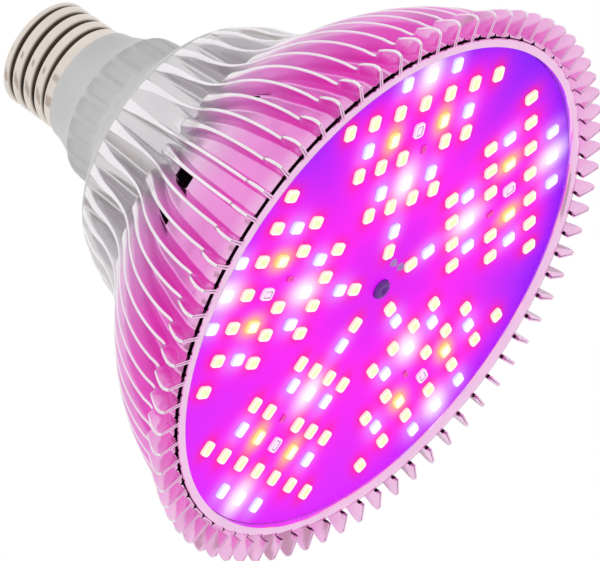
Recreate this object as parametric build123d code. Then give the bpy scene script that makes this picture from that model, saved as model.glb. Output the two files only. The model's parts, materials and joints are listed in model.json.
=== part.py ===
from build123d import *
import math
import os

# LED grow light: a screw-in lamp that stands on its lit face.
# The axis is Z, the rim of the fins stands on Z = 0 and the screw cap points up.
# All lengths are in millimetres and all angles in degrees.

# Driving dimensions: screw cap
CAP_RADIUS = 13.15
CAP_BAND_RADIUS = 13.2
CAP_WALL = 0.35
CAP_BAND_HEIGHT = 2.7
THREAD_PITCH = 3.63
THREAD_DEPTH = 0.95
THREAD_ROOTS = 4
THREAD_ROOT_WIDTH = 1.8
LAST_CREST_WIDTH = 0.4
CAP_SHOULDER_HEIGHT = 1.1
CAP_LIP_RADIUS = 9.6
INSULATOR_FLANGE = 1.1
INSULATOR_SEAT = 2.4
INSULATOR_STAND = 1.9
CONTACT_RADIUS = 4.8
CONTACT_HEIGHT = 1.2
CONTACT_STEM_RADIUS = 1.2

# Driving dimensions: neck housing
NECK_TOP_Z = 93.3
NECK_TOP_RADIUS = 13.9
NECK_WAIST_Z = 82.7
NECK_WAIST_RADIUS = 18.2
GRIP_RADIUS = 18.8
GRIP_TAPER = 0.4
GRIP_STEP = 0.5
GRIP_FOOT_Z = 73.7
NECK_WALL = 1.8
SPIGOT_HEIGHT = 2.4
FLANGE_HEIGHT = 0.6
FLANGE_STEP = 0.1
# Bends of the cone, outwards and down from the top of the neck, and of the bell, outwards from the grip and
# up from the collar
CONE_BENDS = [(0.7, 3.6), (2.5, 8.1)]
BELL_BENDS = [(1.4, 9.1), (8.2, 4.3), (11.6, 1.5)]
GROOVE_COUNT = 22
GROOVE_RADIUS = 0.75
GROOVE_DEPTH = 0.5
SKIRT_DEPTH = 12.0

# Driving dimensions: folded fin ring
PLEATS = 36
SHEET = 0.4
FOLD_WIDTH = 0.85
WALL_LEAN = 0.15
COLLAR_RADIUS = 31.4
COLLAR_Z = 62.9
COLLAR_RIB_WIDTH = 2.9
COLLAR_RIB_RISE = 0.2
SPREAD_END_Z = 49.0
THUMB_WIDTH = 2.2
THUMB_Z = 46.0
THUMB_HEIGHT = 2.5
WINDOW_TOP_Z = 39.0
WINDOW_FOOT_Z = 35.5
WINDOW_STEP = 3
WINDOWS_EACH_SIDE = 11
SEAM_ANGLE = 276.4
SEAM_DROP = 0.05
RIB_FOOT_Z = 6.6
TAB_TOP_Z = 6.1
FLOOR_FOOT_Z = 1.8
FLOOR_REACH = 0.9
RIB_REACH = 2.9
TAB_TOP_REACH = 4.6
TAB_REACH = 7.4
TAB_FOOT_REACH = 6.9

# Driving dimensions: lit face
BOARD_RADIUS = 59.6
BOARD_THICKNESS = 1.6
FACE_Z = 2.8
PLATE_THICKNESS = 1.6
PLATE_STEP = 0.8
RIM_RING_WIDTH = 1.55
RIM_RING_FOOT_Z = 0.3
LED_LENGTH = 3.5
LED_WIDTH = 2.8
LED_HEIGHT = 0.75
CHIP_LENGTH = 2.0
CHIP_WIDTH = 1.25
CHIP_HEIGHT = 0.5
PETALS = 5
PETAL_ANGLE = 32.8
PAD_RADIUS = 1.1
PAD_HEIGHT = 0.7
PAD_REACH = 6.2
PAD_SPACING = 3.4
SCREW_HEAD_RADIUS = 2.4
SCREW_HEAD_HEIGHT = 0.95
SCREW_RADIUS = 1.5
SCREW_LENGTH = 5.0

# Driving dimensions: driver inside the lamp
TUBE_WALL = 1.6
TUBE_FLOOR = 1.6
TUBE_TOP_Z = 60.0
DRIVER_SIDE_GAP = 2.0
DRIVER_HEIGHT = 48.0
DRIVER_THICKNESS = 1.6
CAPACITOR_RADIUS = 6.3
CAPACITOR_LENGTH = 20.0
FILM_SIZE = (13.0, 6.0, 11.0)
CORE_SIZE = (19.0, 16.0, 16.0)
CORE_LEG = 4.5
WINDING_OVERHANG = 2.0
BRIDGE_SIZE = (8.5, 3.0, 6.5)
CHIP_SIZE = (5.0, 1.6, 6.2)
FUSE_RADIUS = 1.6
FUSE_LENGTH = 7.0
LEAD_RADIUS = 0.6
# Places of the driver's pieces: to the side of the middle, and down from the board's top or up from its foot
CAPACITOR_SIDE = 14.0
PART_SIDE = 12.0
TOP_MARGIN = 4.0
FUSE_DROP = 10.0
BRIDGE_RISE = 24.0
CHIP_RISE = 12.0
CORE_SIDE = 10.0
CORE_RISE = 18.0
LEAD_RISE = 6.0

# Clearances
FIT_GAP = 0.15
SLIDE_GAP = 0.2

# Places that follow from the sizes above
BOARD_BACK_Z = FACE_Z + BOARD_THICKNESS
PLATE_BACK_Z = BOARD_BACK_Z + PLATE_THICKNESS
CAP_THREAD_Z = NECK_TOP_Z + CAP_BAND_HEIGHT
CAP_THREAD_TOP_Z = CAP_THREAD_Z + (THREAD_ROOTS - 1) * THREAD_PITCH + THREAD_ROOT_WIDTH + LAST_CREST_WIDTH
CAP_TOP_Z = CAP_THREAD_TOP_Z + CAP_SHOULDER_HEIGHT
INSULATOR_TOP_Z = CAP_TOP_Z + INSULATOR_STAND
INSULATOR_FOOT_Z = CAP_TOP_Z - INSULATOR_SEAT
RIM_RING_RADIUS = BOARD_RADIUS + FIT_GAP + RIM_RING_WIDTH
PLATE_RADIUS = RIM_RING_RADIUS - PLATE_STEP
RIB_PITCH = 180.0 / PLEATS
SPIGOT_RADIUS = CAP_BAND_RADIUS - CAP_WALL - FIT_GAP
GRIP_TOP_RADIUS = GRIP_RADIUS - GRIP_TAPER
SKIRT_RADIUS = COLLAR_RADIUS - SHEET - SLIDE_GAP
TUBE_RADIUS = SKIRT_RADIUS - NECK_WALL - 2 * SLIDE_GAP
DRIVER_WIDTH = 2 * (TUBE_RADIUS - TUBE_WALL - DRIVER_SIDE_GAP)
TUBE_FLOOR_Z = PLATE_BACK_Z + TUBE_FLOOR
DRIVER_Z = TUBE_FLOOR_Z
DRIVER_TOP_Z = DRIVER_Z + DRIVER_HEIGHT
# The driver board stands behind the axis, clear of the screw and the leads
FRONT_Y = -PAD_SPACING / 2 - SCREW_RADIUS - LEAD_RADIUS
BACK_Y = FRONT_Y - DRIVER_THICKNESS
CORE_PLACE = (-CORE_SIDE, FRONT_Y + WINDING_OVERHANG + CORE_SIZE[1] / 2, DRIVER_Z + CORE_RISE)

# Rise of the rib crests from their feet to the collar, and of the valleys between them from their ends to
# the thumb of the low ribs: share of the height, share of the way in from the foot's radius to the collar's
CREST_CURVE = [(1.0, 1.0), (0.895, 0.902), (0.792, 0.851), (0.689, 0.762), (0.583, 0.616), (0.472, 0.433),
               (0.366, 0.280), (0.259, 0.162), (0.160, 0.079), (0.075, 0.030), (0.0, 0.0)]
VALLEY_CURVE = [(1.0, 1.0), (0.943, 0.935), (0.846, 0.753), (0.710, 0.565), (0.575, 0.403), (0.439, 0.266),
                (0.312, 0.175), (0.204, 0.094), (0.109, 0.039), (0.063, 0.010), (0.0, 0.0)]
# Heights at which the sheet's outer and inner faces bend
THUMB_FOOT_Z = THUMB_Z - THUMB_HEIGHT
OUTER_BENDS = [COLLAR_Z, 56.5, SPREAD_END_Z, THUMB_Z, THUMB_FOOT_Z, WINDOW_TOP_Z, WINDOW_FOOT_Z, 28.0, 20.0, 12.5]
OUTER_BENDS += [RIB_FOOT_Z, TAB_TOP_Z, FLOOR_FOOT_Z]
INNER_BENDS = [COLLAR_Z, 56.5, SPREAD_END_Z, THUMB_Z, WINDOW_TOP_Z, WINDOW_FOOT_Z, 24.0, 12.5, 4.6]
INNER_BENDS += [FLOOR_FOOT_Z]

# Places of the light sources in one petal, as shares of the board's radius:
# distance from the middle, and distances to each side of the petal's axis
RED_ROWS = [
    (0.160, [0.0]),
    (0.376, [-0.172, -0.058, 0.058, 0.172]),
    (0.582, [-0.284, -0.170, -0.057, 0.170, 0.284]),
    (0.796, [-0.392, -0.265, -0.1325, 0.0, 0.1325, 0.265, 0.392]),
]
BLUE_ROWS = [(0.250, [0.0]), (0.459, [-0.1325, 0.1325]), (0.682, [-0.265, 0.265]), (0.915, [-0.131, 0.131])]
WHITE_ROWS = [(0.459, [0.0]), (0.915, [0.0])]
WARM_ROWS = [(0.682, [-0.132, 0.132])]
INFRARED_ROWS = [(0.682, [0.0])]
RESISTOR_ROWS = [(0.582, [0.057])]


def along(curve, share):
    """Value of a curve of (share, value) pairs at a share, on straight runs, highest share first."""
    for (upper, a), (lower, b) in zip(curve, curve[1:]):
        if share >= lower:
            return a + (b - a) * (upper - share) / (upper - lower)
    return curve[-1][1]


def polar(radius, angle, z):
    """Point at a radius and an angle round the axis."""
    turn = math.radians(angle)
    return Vector(radius * math.cos(turn), radius * math.sin(turn), z)


def turned(points):
    """Solid turned round the axis from a closed outline of radius and height."""
    outline = Polyline(*[(r, 0, z) for r, z in points], close=True)
    return revolve(make_face(outline), Axis.Z, 360)


def rod(radius, start, end):
    """Round rod between two points."""
    run = Vector(end) - Vector(start)
    return Solid.make_cylinder(radius, run.length, Plane(origin=start, z_dir=run))


def block(size, centre):
    """Rectangular block about a centre."""
    return Pos(*centre) * Box(*size)


def screw_shell():
    """Rolled screw shell: smooth band, thread crests as rings, shoulder and lip."""
    outer = [(CAP_BAND_RADIUS, NECK_TOP_Z), (CAP_BAND_RADIUS, CAP_THREAD_Z)]
    for turn in range(THREAD_ROOTS):
        root_z = CAP_THREAD_Z + THREAD_ROOT_WIDTH / 2 + turn * THREAD_PITCH
        if turn > 0:
            outer.append((CAP_RADIUS, root_z - THREAD_ROOT_WIDTH / 2))
        outer.append((CAP_RADIUS - THREAD_DEPTH, root_z))
        if turn < THREAD_ROOTS - 1:
            outer.append((CAP_RADIUS, root_z + THREAD_ROOT_WIDTH / 2))
    outer.append((CAP_RADIUS - THREAD_DEPTH / 2, CAP_THREAD_TOP_Z))
    outer.append((CAP_LIP_RADIUS + CAP_WALL, CAP_TOP_Z))
    inner = [(r - CAP_WALL, z) for r, z in outer[:-1]]
    lip = [(CAP_LIP_RADIUS, CAP_TOP_Z), (CAP_LIP_RADIUS, CAP_TOP_Z - CAP_WALL)]
    return turned(outer + lip + inner[::-1])


def tip_insulator():
    """Insulator that closes the cap, held by its flange under the lip."""
    flange_radius = CAP_LIP_RADIUS + INSULATOR_FLANGE
    body_radius = CAP_LIP_RADIUS - FIT_GAP
    seat_z = CAP_TOP_Z - CAP_WALL - FIT_GAP
    foot_z = INSULATOR_FOOT_Z
    stem_hole = CONTACT_STEM_RADIUS + FIT_GAP
    flange_z = seat_z - INSULATOR_FLANGE / 2
    outline = [(stem_hole, foot_z), (flange_radius, foot_z), (flange_radius, flange_z), (body_radius, seat_z)]
    outline += [(body_radius, CAP_TOP_Z), (CONTACT_RADIUS + FIT_GAP, INSULATOR_TOP_Z), (stem_hole, INSULATOR_TOP_Z)]
    return turned(outline)


def centre_contact():
    """Contact button with its rounded edge and the stem that the live lead is soldered to."""
    foot_z = INSULATOR_FOOT_Z
    top_z = INSULATOR_TOP_Z + CONTACT_HEIGHT
    edge_z = INSULATOR_TOP_Z + CONTACT_HEIGHT / 2
    outline = [(0, foot_z), (CONTACT_STEM_RADIUS, foot_z), (CONTACT_STEM_RADIUS, INSULATOR_TOP_Z)]
    outline += [(CONTACT_RADIUS, INSULATOR_TOP_Z), (CONTACT_RADIUS, edge_z), (CONTACT_RADIUS / 2, top_z), (0, top_z)]
    return turned(outline)


def neck_housing():
    """Moulded neck: spigot in the cap, cone, grooved grip, bell flange and the skirt inside the collar."""
    flange_z = COLLAR_Z
    skirt_z = COLLAR_Z - SKIRT_DEPTH
    outer = [
        (SPIGOT_RADIUS, NECK_TOP_Z + SPIGOT_HEIGHT),
        (SPIGOT_RADIUS, NECK_TOP_Z),
        (NECK_TOP_RADIUS, NECK_TOP_Z),
        *[(NECK_TOP_RADIUS + out, NECK_TOP_Z - down) for out, down in CONE_BENDS],
        (NECK_WAIST_RADIUS, NECK_WAIST_Z),
        (GRIP_TOP_RADIUS, NECK_WAIST_Z - GRIP_STEP),
        (GRIP_RADIUS, GRIP_FOOT_Z),
        *[(GRIP_RADIUS + out, flange_z + up) for out, up in BELL_BENDS],
        (COLLAR_RADIUS - FLANGE_STEP, flange_z + FLANGE_HEIGHT),
        (COLLAR_RADIUS - FLANGE_STEP, flange_z),
        (SKIRT_RADIUS, flange_z),
        (SKIRT_RADIUS, skirt_z),
    ]
    bell_out, bell_up = BELL_BENDS[1]
    inner = [
        (SKIRT_RADIUS - NECK_WALL, skirt_z),
        (SKIRT_RADIUS - NECK_WALL, flange_z),
        (GRIP_RADIUS + bell_out - NECK_WALL, flange_z + bell_up - NECK_WALL / 2),
        (GRIP_RADIUS - NECK_WALL, GRIP_FOOT_Z - NECK_WALL),
        (NECK_WAIST_RADIUS - NECK_WALL, NECK_WAIST_Z - NECK_WALL),
        (SPIGOT_RADIUS - NECK_WALL, NECK_TOP_Z - NECK_WALL),
        (SPIGOT_RADIUS - NECK_WALL, NECK_TOP_Z + SPIGOT_HEIGHT),
    ]
    body = turned(outer + inner)
    groove_reach = GRIP_TOP_RADIUS + GROOVE_RADIUS - GROOVE_DEPTH
    foot_reach = GRIP_RADIUS + GROOVE_RADIUS - GROOVE_DEPTH
    cutters = []
    for number in range(GROOVE_COUNT):
        angle = 360.0 * number / GROOVE_COUNT
        foot = polar(foot_reach, angle, GRIP_FOOT_Z - GROOVE_RADIUS)
        head = polar(groove_reach, angle, NECK_WAIST_Z + GROOVE_RADIUS)
        run = head - foot
        cutters.append(extrude(Plane(origin=foot, z_dir=run) * RegularPolygon(GROOVE_RADIUS, 6), run.length))
    return body.cut(*cutters)


def crest_radius(z):
    """Radius of the rib crests and the tabs at a height."""
    foot = RIM_RING_RADIUS + RIB_REACH
    if z >= RIB_FOOT_Z:
        share = along(CREST_CURVE, (z - RIB_FOOT_Z) / (COLLAR_Z - RIB_FOOT_Z))
        return foot + (COLLAR_RADIUS + COLLAR_RIB_RISE - foot) * share
    reaches = [(TAB_TOP_Z, TAB_TOP_REACH), (FLOOR_FOOT_Z, TAB_REACH), (0.0, TAB_FOOT_REACH)]
    return RIM_RING_RADIUS + along(reaches, min(z, TAB_TOP_Z))


def valley_radius(z):
    """Radius of the sheet between the ribs at a height, and of the inner edges of the tabs below it."""
    foot = RIM_RING_RADIUS + FLOOR_REACH
    share = along(VALLEY_CURVE, min(1.0, max(0.0, (z - FLOOR_FOOT_Z) / (THUMB_Z - FLOOR_FOOT_Z))))
    return foot + (COLLAR_RADIUS - foot) * share


def tall_half_width(z):
    """Half the width of a tall rib: wide at the collar and pressed shut lower down."""
    share = max(0.0, (z - SPREAD_END_Z) / (COLLAR_Z - SPREAD_END_Z))
    return FOLD_WIDTH / 2 + (COLLAR_RIB_WIDTH - FOLD_WIDTH) / 2 * share ** 1.3


def low_half_width(z):
    """Half the width of a low rib: narrow in the collar, wide at its thumb and pressed shut lower down."""
    if z > THUMB_Z:
        share = (z - THUMB_Z) / (COLLAR_Z - THUMB_Z)
        return THUMB_WIDTH / 2 - (THUMB_WIDTH / 2 - SHEET) * share
    share = max(0.0, (z - WINDOW_FOOT_Z) / (THUMB_Z - WINDOW_FOOT_Z))
    return FOLD_WIDTH / 2 + (THUMB_WIDTH - FOLD_WIDTH) / 2 * share


def rib(centre, half_width, crest, before, after):
    """Corners of a rib at a height as (angle, radius): its foot, two at the crest, and its other foot."""
    top = math.degrees(half_width / crest)
    near = math.degrees((half_width + WALL_LEAN) / before)
    far = math.degrees((half_width + WALL_LEAN) / after)
    return [(centre - near, before), (centre - top, crest), (centre + top, crest), (centre + far, after)]


def pleat_section(z, pleat):
    """Corners of one pleat at a height: eight of the outer face and four of the inner face.

    A pleat runs from a tall rib over a valley, a low rib and a second valley. The seam is a flush
    panel from the last pleat's tall rib to the first one's.
    """
    crest = crest_radius(z)
    valley = valley_radius(z)
    raised = crest - SEAM_DROP if z >= SPREAD_END_Z else valley
    before = raised if pleat == 0 else valley
    after = raised if pleat == PLEATS - 1 else valley
    rise = min(1.0, max(0.0, (THUMB_Z - z) / THUMB_HEIGHT))
    thumb = along([(1.0, 1.0), (0.95, 0.84), (0.0, 0.0)], rise)
    low_crest = after + thumb * (crest - after)
    half = tall_half_width(z)
    outer = rib(0.0, half, crest, before, after) + rib(RIB_PITCH, low_half_width(z), low_crest, after, after)
    hollow = max(half - SHEET, SHEET)
    opened = min(1.0, max(0.0, (half - SHEET) / SHEET - WALL_LEAN))
    side = math.degrees(hollow / (valley - SHEET))
    tip = valley - SHEET + opened * (crest - valley)
    inner = [(-side, valley - SHEET), (0.0, tip), (side, valley - SHEET), (RIB_PITCH, after - SHEET)]
    turn = SEAM_ANGLE + RIB_PITCH + 2 * RIB_PITCH * pleat
    return [[polar(radius, turn + angle, z) for angle, radius in face] for face in (outer, inner)]


def panels(upper, lower):
    """Flat triangles between two edges of a bent strip, each edge a list of points."""
    faces = []
    i = 0
    j = 0
    while i < len(upper) - 1 or j < len(lower) - 1:
        step_upper = j == len(lower) - 1
        if i < len(upper) - 1 and j < len(lower) - 1:
            step_upper = (i + 1) * (len(lower) - 1) <= (j + 1) * (len(upper) - 1)
        if step_upper:
            corners = [upper[i], upper[i + 1], lower[j]]
            i += 1
        else:
            corners = [upper[i], lower[j + 1], lower[j]]
            j += 1
        faces.append(Face(Wire.make_polygon(corners, close=True)))
    return faces


def window_valleys():
    """Valleys that have a vent window, counted in ribs from the seam to both sides."""
    chosen = set()
    for number in range(WINDOWS_EACH_SIDE):
        rib = 2 + WINDOW_STEP * number
        chosen.add(rib % (2 * PLEATS))
        chosen.add((-rib - 1) % (2 * PLEATS))
    return chosen


def fin_ring():
    """One folded sheet: smooth at the collar, 36 tall and 36 low ribs below it, and 72 tabs at the rim."""
    levels = set(OUTER_BENDS + INNER_BENDS + [0.0])
    sections = {(z, pleat): pleat_section(z, pleat) for z in levels for pleat in range(PLEATS)}
    vented = window_valleys()

    def leg(z, side, pleat, number):
        """Both ends of one leg of a pleat's outer (0) or inner (1) face at a height."""
        corners = sections[z, pleat][side]
        if number + 1 < len(corners):
            return [corners[number], corners[number + 1]]
        return [corners[number], sections[z, (pleat + 1) % PLEATS][side][0]]

    def pierced(z, pleat, valley):
        """The inner leg under a vented valley at a height, with the window's two corners on it."""
        a, b = leg(z, 1, pleat, valley + 2)
        first, last = leg(z, 0, pleat, 4 * valley + 3)
        run = b - a
        shares = [(corner - a).dot(run) / run.dot(run) for corner in (first, last)]
        return [a, a + run * shares[0], a + run * shares[1], b]

    faces = []
    for pleat in range(PLEATS):
        open_valleys = [number for number in (0, 1) if (2 * pleat + 1 + number) % (2 * PLEATS) in vented]
        for upper_z, lower_z in zip(OUTER_BENDS, OUTER_BENDS[1:]):
            windows = [4 * number + 3 for number in open_valleys] if upper_z == WINDOW_TOP_Z else []
            for number in range(8):
                if number not in windows:
                    faces += panels(leg(upper_z, 0, pleat, number), leg(lower_z, 0, pleat, number))
        for upper_z, lower_z in zip(INNER_BENDS, INNER_BENDS[1:]):
            for number in range(4):
                edges = []
                for z in (upper_z, lower_z):
                    at_window = number - 2 in open_valleys and z in (WINDOW_TOP_Z, WINDOW_FOOT_Z)
                    edges.append(pierced(z, pleat, number - 2) if at_window else leg(z, 1, pleat, number))
                if number - 2 in open_valleys and upper_z == WINDOW_TOP_Z:
                    faces += panels(edges[0][:2], edges[1][:2])
                    faces += panels(edges[0][2:], edges[1][2:])
                else:
                    faces += panels(*edges)
        for number in open_valleys:
            faces += window_edges(leg, pierced, pleat, number)
        faces += tabs(sections, pleat)
        faces += sheet_ends(sections, pleat)
    ring = Solid(Shell(faces))
    return ring if ring.volume > 0 else Solid(ring.wrapped.Reversed())


def window_edges(leg, pierced, pleat, valley):
    """Cut edges of one vent window, through the thickness of the sheet."""
    outer = [leg(z, 0, pleat, 4 * valley + 3) for z in (WINDOW_TOP_Z, WINDOW_FOOT_Z)]
    inner = [pierced(z, pleat, valley)[1:3] for z in (WINDOW_TOP_Z, WINDOW_FOOT_Z)]
    faces = panels(outer[0], inner[0]) + panels(outer[1], inner[1])
    for side in (0, 1):
        faces += panels([outer[0][side], inner[0][side]], [outer[1][side], inner[1][side]])
    return faces


def tabs(sections, pleat):
    """The two tabs of a pleat, closed folds that run on past the ends of the valleys to the rim."""
    faces = []
    for first in (0, 4):
        upper = sections[FLOOR_FOOT_Z, pleat][0][first:first + 4]
        lower = sections[0.0, pleat][0][first:first + 4]
        for number in range(4):
            after = (number + 1) % 4
            faces += panels([upper[number], upper[after]], [lower[number], lower[after]])
        faces += panels(lower[:2], lower[:1:-1])
    return faces


def sheet_ends(sections, pleat):
    """Cut edges of the sheet at the collar and at the ends of the valleys."""
    after = (pleat + 1) % PLEATS
    outer, inner = sections[COLLAR_Z, pleat]
    next_outer, next_inner = sections[COLLAR_Z, after]
    faces = panels(outer[:4], inner[:3])
    faces += panels(outer[3:] + next_outer[:1], inner[2:] + next_inner[:1])
    outer, inner = sections[FLOOR_FOOT_Z, pleat]
    next_outer, next_inner = sections[FLOOR_FOOT_Z, after]
    faces += panels([outer[0], outer[3]], inner[:3])
    faces += panels([outer[3], outer[4], outer[7], next_outer[0]], inner[2:] + next_inner[:1])
    return faces


def ring_between(inner_radius, outer_radius, foot_z, top_z):
    """Flat ring round the axis."""
    outline = [(inner_radius, foot_z), (outer_radius, foot_z), (outer_radius, top_z), (inner_radius, top_z)]
    return turned(outline)


def rim_ring():
    """Narrow ring that stands round the board, under the carrier plate and inside the tabs of the fins."""
    return ring_between(BOARD_RADIUS + FIT_GAP, RIM_RING_RADIUS, RIM_RING_FOOT_Z, BOARD_BACK_Z)


def lead_places():
    """Middles of the two lead terminals on the board."""
    turn = math.radians(PETAL_ANGLE - 180.0 / PETALS)
    radial = Vector(math.cos(turn), math.sin(turn), 0)
    tangent = Vector(-math.sin(turn), math.cos(turn), 0)
    middle = radial * PAD_REACH
    return [middle - tangent * (PAD_SPACING / 2), middle + tangent * (PAD_SPACING / 2)]


def pierced_disc(radius, foot_z, top_z, screw_gap):
    """Disc with the hole of the middle screw and the two holes of the leads."""
    disc = rod(radius, (0, 0, foot_z), (0, 0, top_z))
    holes = [rod(SCREW_RADIUS + screw_gap, (0, 0, foot_z - 1), (0, 0, top_z + 1))]
    for place in lead_places():
        start = (place.X, place.Y, foot_z - 1)
        end = (place.X, place.Y, top_z + 1)
        holes.append(rod(LEAD_RADIUS + FIT_GAP, start, end))
    return disc.cut(*holes)


def carrier_plate():
    """Aluminium disc behind the board and the rim ring, that the fins are pressed round."""
    return pierced_disc(PLATE_RADIUS, BOARD_BACK_Z, PLATE_BACK_Z, FIT_GAP / 3)


def led_board():
    """Round aluminium-core circuit board."""
    return pierced_disc(BOARD_RADIUS, FACE_Z, BOARD_BACK_Z, FIT_GAP)


def on_board(rows, length, width, height):
    """Small packages in each of the petals, as one group of separate solids."""
    packages = []
    for petal in range(PETALS):
        angle = PETAL_ANGLE + 360.0 * petal / PETALS
        for reach, offsets in rows:
            for offset in offsets:
                place = (reach * BOARD_RADIUS, offset * BOARD_RADIUS, FACE_Z - height / 2)
                packages.append(Rot(0, 0, angle) * Pos(*place) * Box(length, width, height))
    return Compound(packages)


def lead_pads():
    """Two low solder domes where the leads end."""
    domes = []
    for place in lead_places():
        foot = Plane(origin=(place.X, place.Y, FACE_Z), z_dir=(0, 0, -1))
        domes.append(Solid.make_cone(PAD_RADIUS, PAD_RADIUS / 2, PAD_HEIGHT, foot))
    return Compound(domes)


def centre_screw():
    """Pan head screw that holds the board on the carrier plate."""
    head_foot_z = FACE_Z - SCREW_HEAD_HEIGHT
    edge_z = FACE_Z - SCREW_HEAD_HEIGHT / 2
    tip_z = FACE_Z + SCREW_LENGTH
    outline = [(0, head_foot_z), (SCREW_HEAD_RADIUS * 0.7, head_foot_z), (SCREW_HEAD_RADIUS, edge_z)]
    outline += [(SCREW_HEAD_RADIUS, FACE_Z), (SCREW_RADIUS, FACE_Z), (SCREW_RADIUS, tip_z), (0, tip_z)]
    return turned(outline)


def driver_tube():
    """Plastic cup that holds the driver, standing on the carrier plate inside the fins."""
    outline = [(0, PLATE_BACK_Z), (TUBE_RADIUS, PLATE_BACK_Z), (TUBE_RADIUS, TUBE_TOP_Z)]
    outline += [(TUBE_RADIUS - TUBE_WALL, TUBE_TOP_Z), (TUBE_RADIUS - TUBE_WALL, TUBE_FLOOR_Z), (0, TUBE_FLOOR_Z)]
    cup = turned(outline)
    holes = [rod(SCREW_RADIUS + FIT_GAP, (0, 0, PLATE_BACK_Z - 1), (0, 0, TUBE_FLOOR_Z + 1))]
    for place in lead_places():
        start = (place.X, place.Y, PLATE_BACK_Z - 1)
        end = (place.X, place.Y, TUBE_FLOOR_Z + 1)
        holes.append(rod(LEAD_RADIUS + FIT_GAP, start, end))
    return cup.cut(*holes)


def driver_board():
    """Circuit board of the driver, standing on the floor of the tube beside the leads."""
    centre = (0, FRONT_Y - DRIVER_THICKNESS / 2, DRIVER_Z + DRIVER_HEIGHT / 2)
    return block((DRIVER_WIDTH, DRIVER_THICKNESS, DRIVER_HEIGHT), centre)


def bulk_capacitor():
    """Electrolytic capacitor lying against the back of the driver board."""
    y = BACK_Y - CAPACITOR_RADIUS
    top_z = DRIVER_TOP_Z - TOP_MARGIN
    return rod(CAPACITOR_RADIUS, (-CAPACITOR_SIDE, y, top_z - CAPACITOR_LENGTH), (-CAPACITOR_SIDE, y, top_z))


def film_capacitor():
    """Film capacitor on the front of the driver board, near the cap."""
    x, y, z = FILM_SIZE
    return block(FILM_SIZE, (PART_SIDE, FRONT_Y + y / 2, DRIVER_TOP_Z - TOP_MARGIN - z / 2))


def transformer_core():
    """Closed ferrite core with a middle leg."""
    x, y, z = CORE_SIZE
    core = block(CORE_SIZE, CORE_PLACE)
    window = (x - 3 * CORE_LEG) / 2
    shift = (CORE_LEG + window) / 2
    for way in (-1, 1):
        centre = (CORE_PLACE[0] + way * shift, CORE_PLACE[1], CORE_PLACE[2])
        core = core - block((window, y + 2, z - 2 * CORE_LEG), centre)
    return core


def transformer_winding():
    """Taped winding round the middle leg of the core, in the core's two windows."""
    x, y, z = CORE_SIZE
    window = (x - 3 * CORE_LEG) / 2
    outer = (CORE_LEG + 2 * window - 2 * FIT_GAP, y - 2 * FIT_GAP, z - 2 * CORE_LEG - 2 * FIT_GAP)
    hole = (CORE_LEG + 2 * FIT_GAP, y + 2, z)
    depth = y + 2 * WINDING_OVERHANG
    winding = block((outer[0], depth, outer[2]), CORE_PLACE)
    inner_depth = y + 2 * FIT_GAP
    return winding - block((hole[0], inner_depth, hole[2]), CORE_PLACE)


def bridge_rectifier():
    """Rectifier block on the front of the driver board."""
    x, y, z = BRIDGE_SIZE
    return block(BRIDGE_SIZE, (PART_SIDE, FRONT_Y + y / 2, DRIVER_Z + BRIDGE_RISE))


def driver_chip():
    """Driver chip on the front of the driver board."""
    x, y, z = CHIP_SIZE
    return block(CHIP_SIZE, (PART_SIDE, FRONT_Y + y / 2, DRIVER_Z + CHIP_RISE))


def fusible_resistor():
    """Resistor that stands in the live line."""
    y = BACK_Y - FUSE_RADIUS
    middle_z = DRIVER_TOP_Z - FUSE_DROP
    return rod(FUSE_RADIUS, (PART_SIDE, y, middle_z - FUSE_LENGTH / 2), (PART_SIDE, y, middle_z + FUSE_LENGTH / 2))


def lead(points):
    """Insulated lead along straight runs with rounded corners."""
    path = FilletPolyline(*points, radius=3 * LEAD_RADIUS)
    return sweep(Plane(origin=path @ 0, z_dir=path % 0) * Circle(LEAD_RADIUS), path=path)


def input_leads():
    """Leads from the driver board to the centre contact and to the screw shell."""
    board_top_z = DRIVER_TOP_Z
    start_y = FRONT_Y - DRIVER_THICKNESS / 2
    wall_x = SPIGOT_RADIUS - NECK_WALL - LEAD_RADIUS - FIT_GAP
    live = [(0, start_y, board_top_z), (0, start_y, board_top_z + 8), (0, 0, board_top_z + 18), (0, 0, INSULATOR_FOOT_Z)]
    shell_x = CAP_RADIUS - THREAD_DEPTH - CAP_WALL - LEAD_RADIUS - FIT_GAP
    shell_z = NECK_TOP_Z + SPIGOT_HEIGHT
    neutral = [
        (6, start_y, board_top_z),
        (6, start_y, board_top_z + 8),
        (wall_x, 0, board_top_z + 24),
        (wall_x, 0, shell_z),
        (shell_x, 0, shell_z + 4),
        (shell_x, 0, shell_z + 8),
    ]
    return Compound([lead(live), lead(neutral)])


def output_leads():
    """Leads from the driver board through the plate to the terminals on the LED board."""
    wires = []
    for place in lead_places():
        wires.append(rod(LEAD_RADIUS, (place.X, place.Y, FACE_Z), (place.X, place.Y, DRIVER_Z + LEAD_RISE)))
    return Compound(wires)


PIECES = {
    "screw_shell": screw_shell,
    "tip_insulator": tip_insulator,
    "centre_contact": centre_contact,
    "neck_housing": neck_housing,
    "fin_ring": fin_ring,
    "rim_ring": rim_ring,
    "carrier_plate": carrier_plate,
    "led_board": led_board,
    "lead_pads": lead_pads,
    "centre_screw": centre_screw,
    "driver_tube": driver_tube,
    "driver_board": driver_board,
    "bulk_capacitor": bulk_capacitor,
    "film_capacitor": film_capacitor,
    "transformer_core": transformer_core,
    "transformer_winding": transformer_winding,
    "bridge_rectifier": bridge_rectifier,
    "driver_chip": driver_chip,
    "fusible_resistor": fusible_resistor,
    "input_leads": input_leads,
    "output_leads": output_leads,
}
PACKAGES = {
    "red_leds": RED_ROWS,
    "blue_leds": BLUE_ROWS,
    "white_leds": WHITE_ROWS,
    "warm_leds": WARM_ROWS,
    "infrared_leds": INFRARED_ROWS,
}

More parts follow.
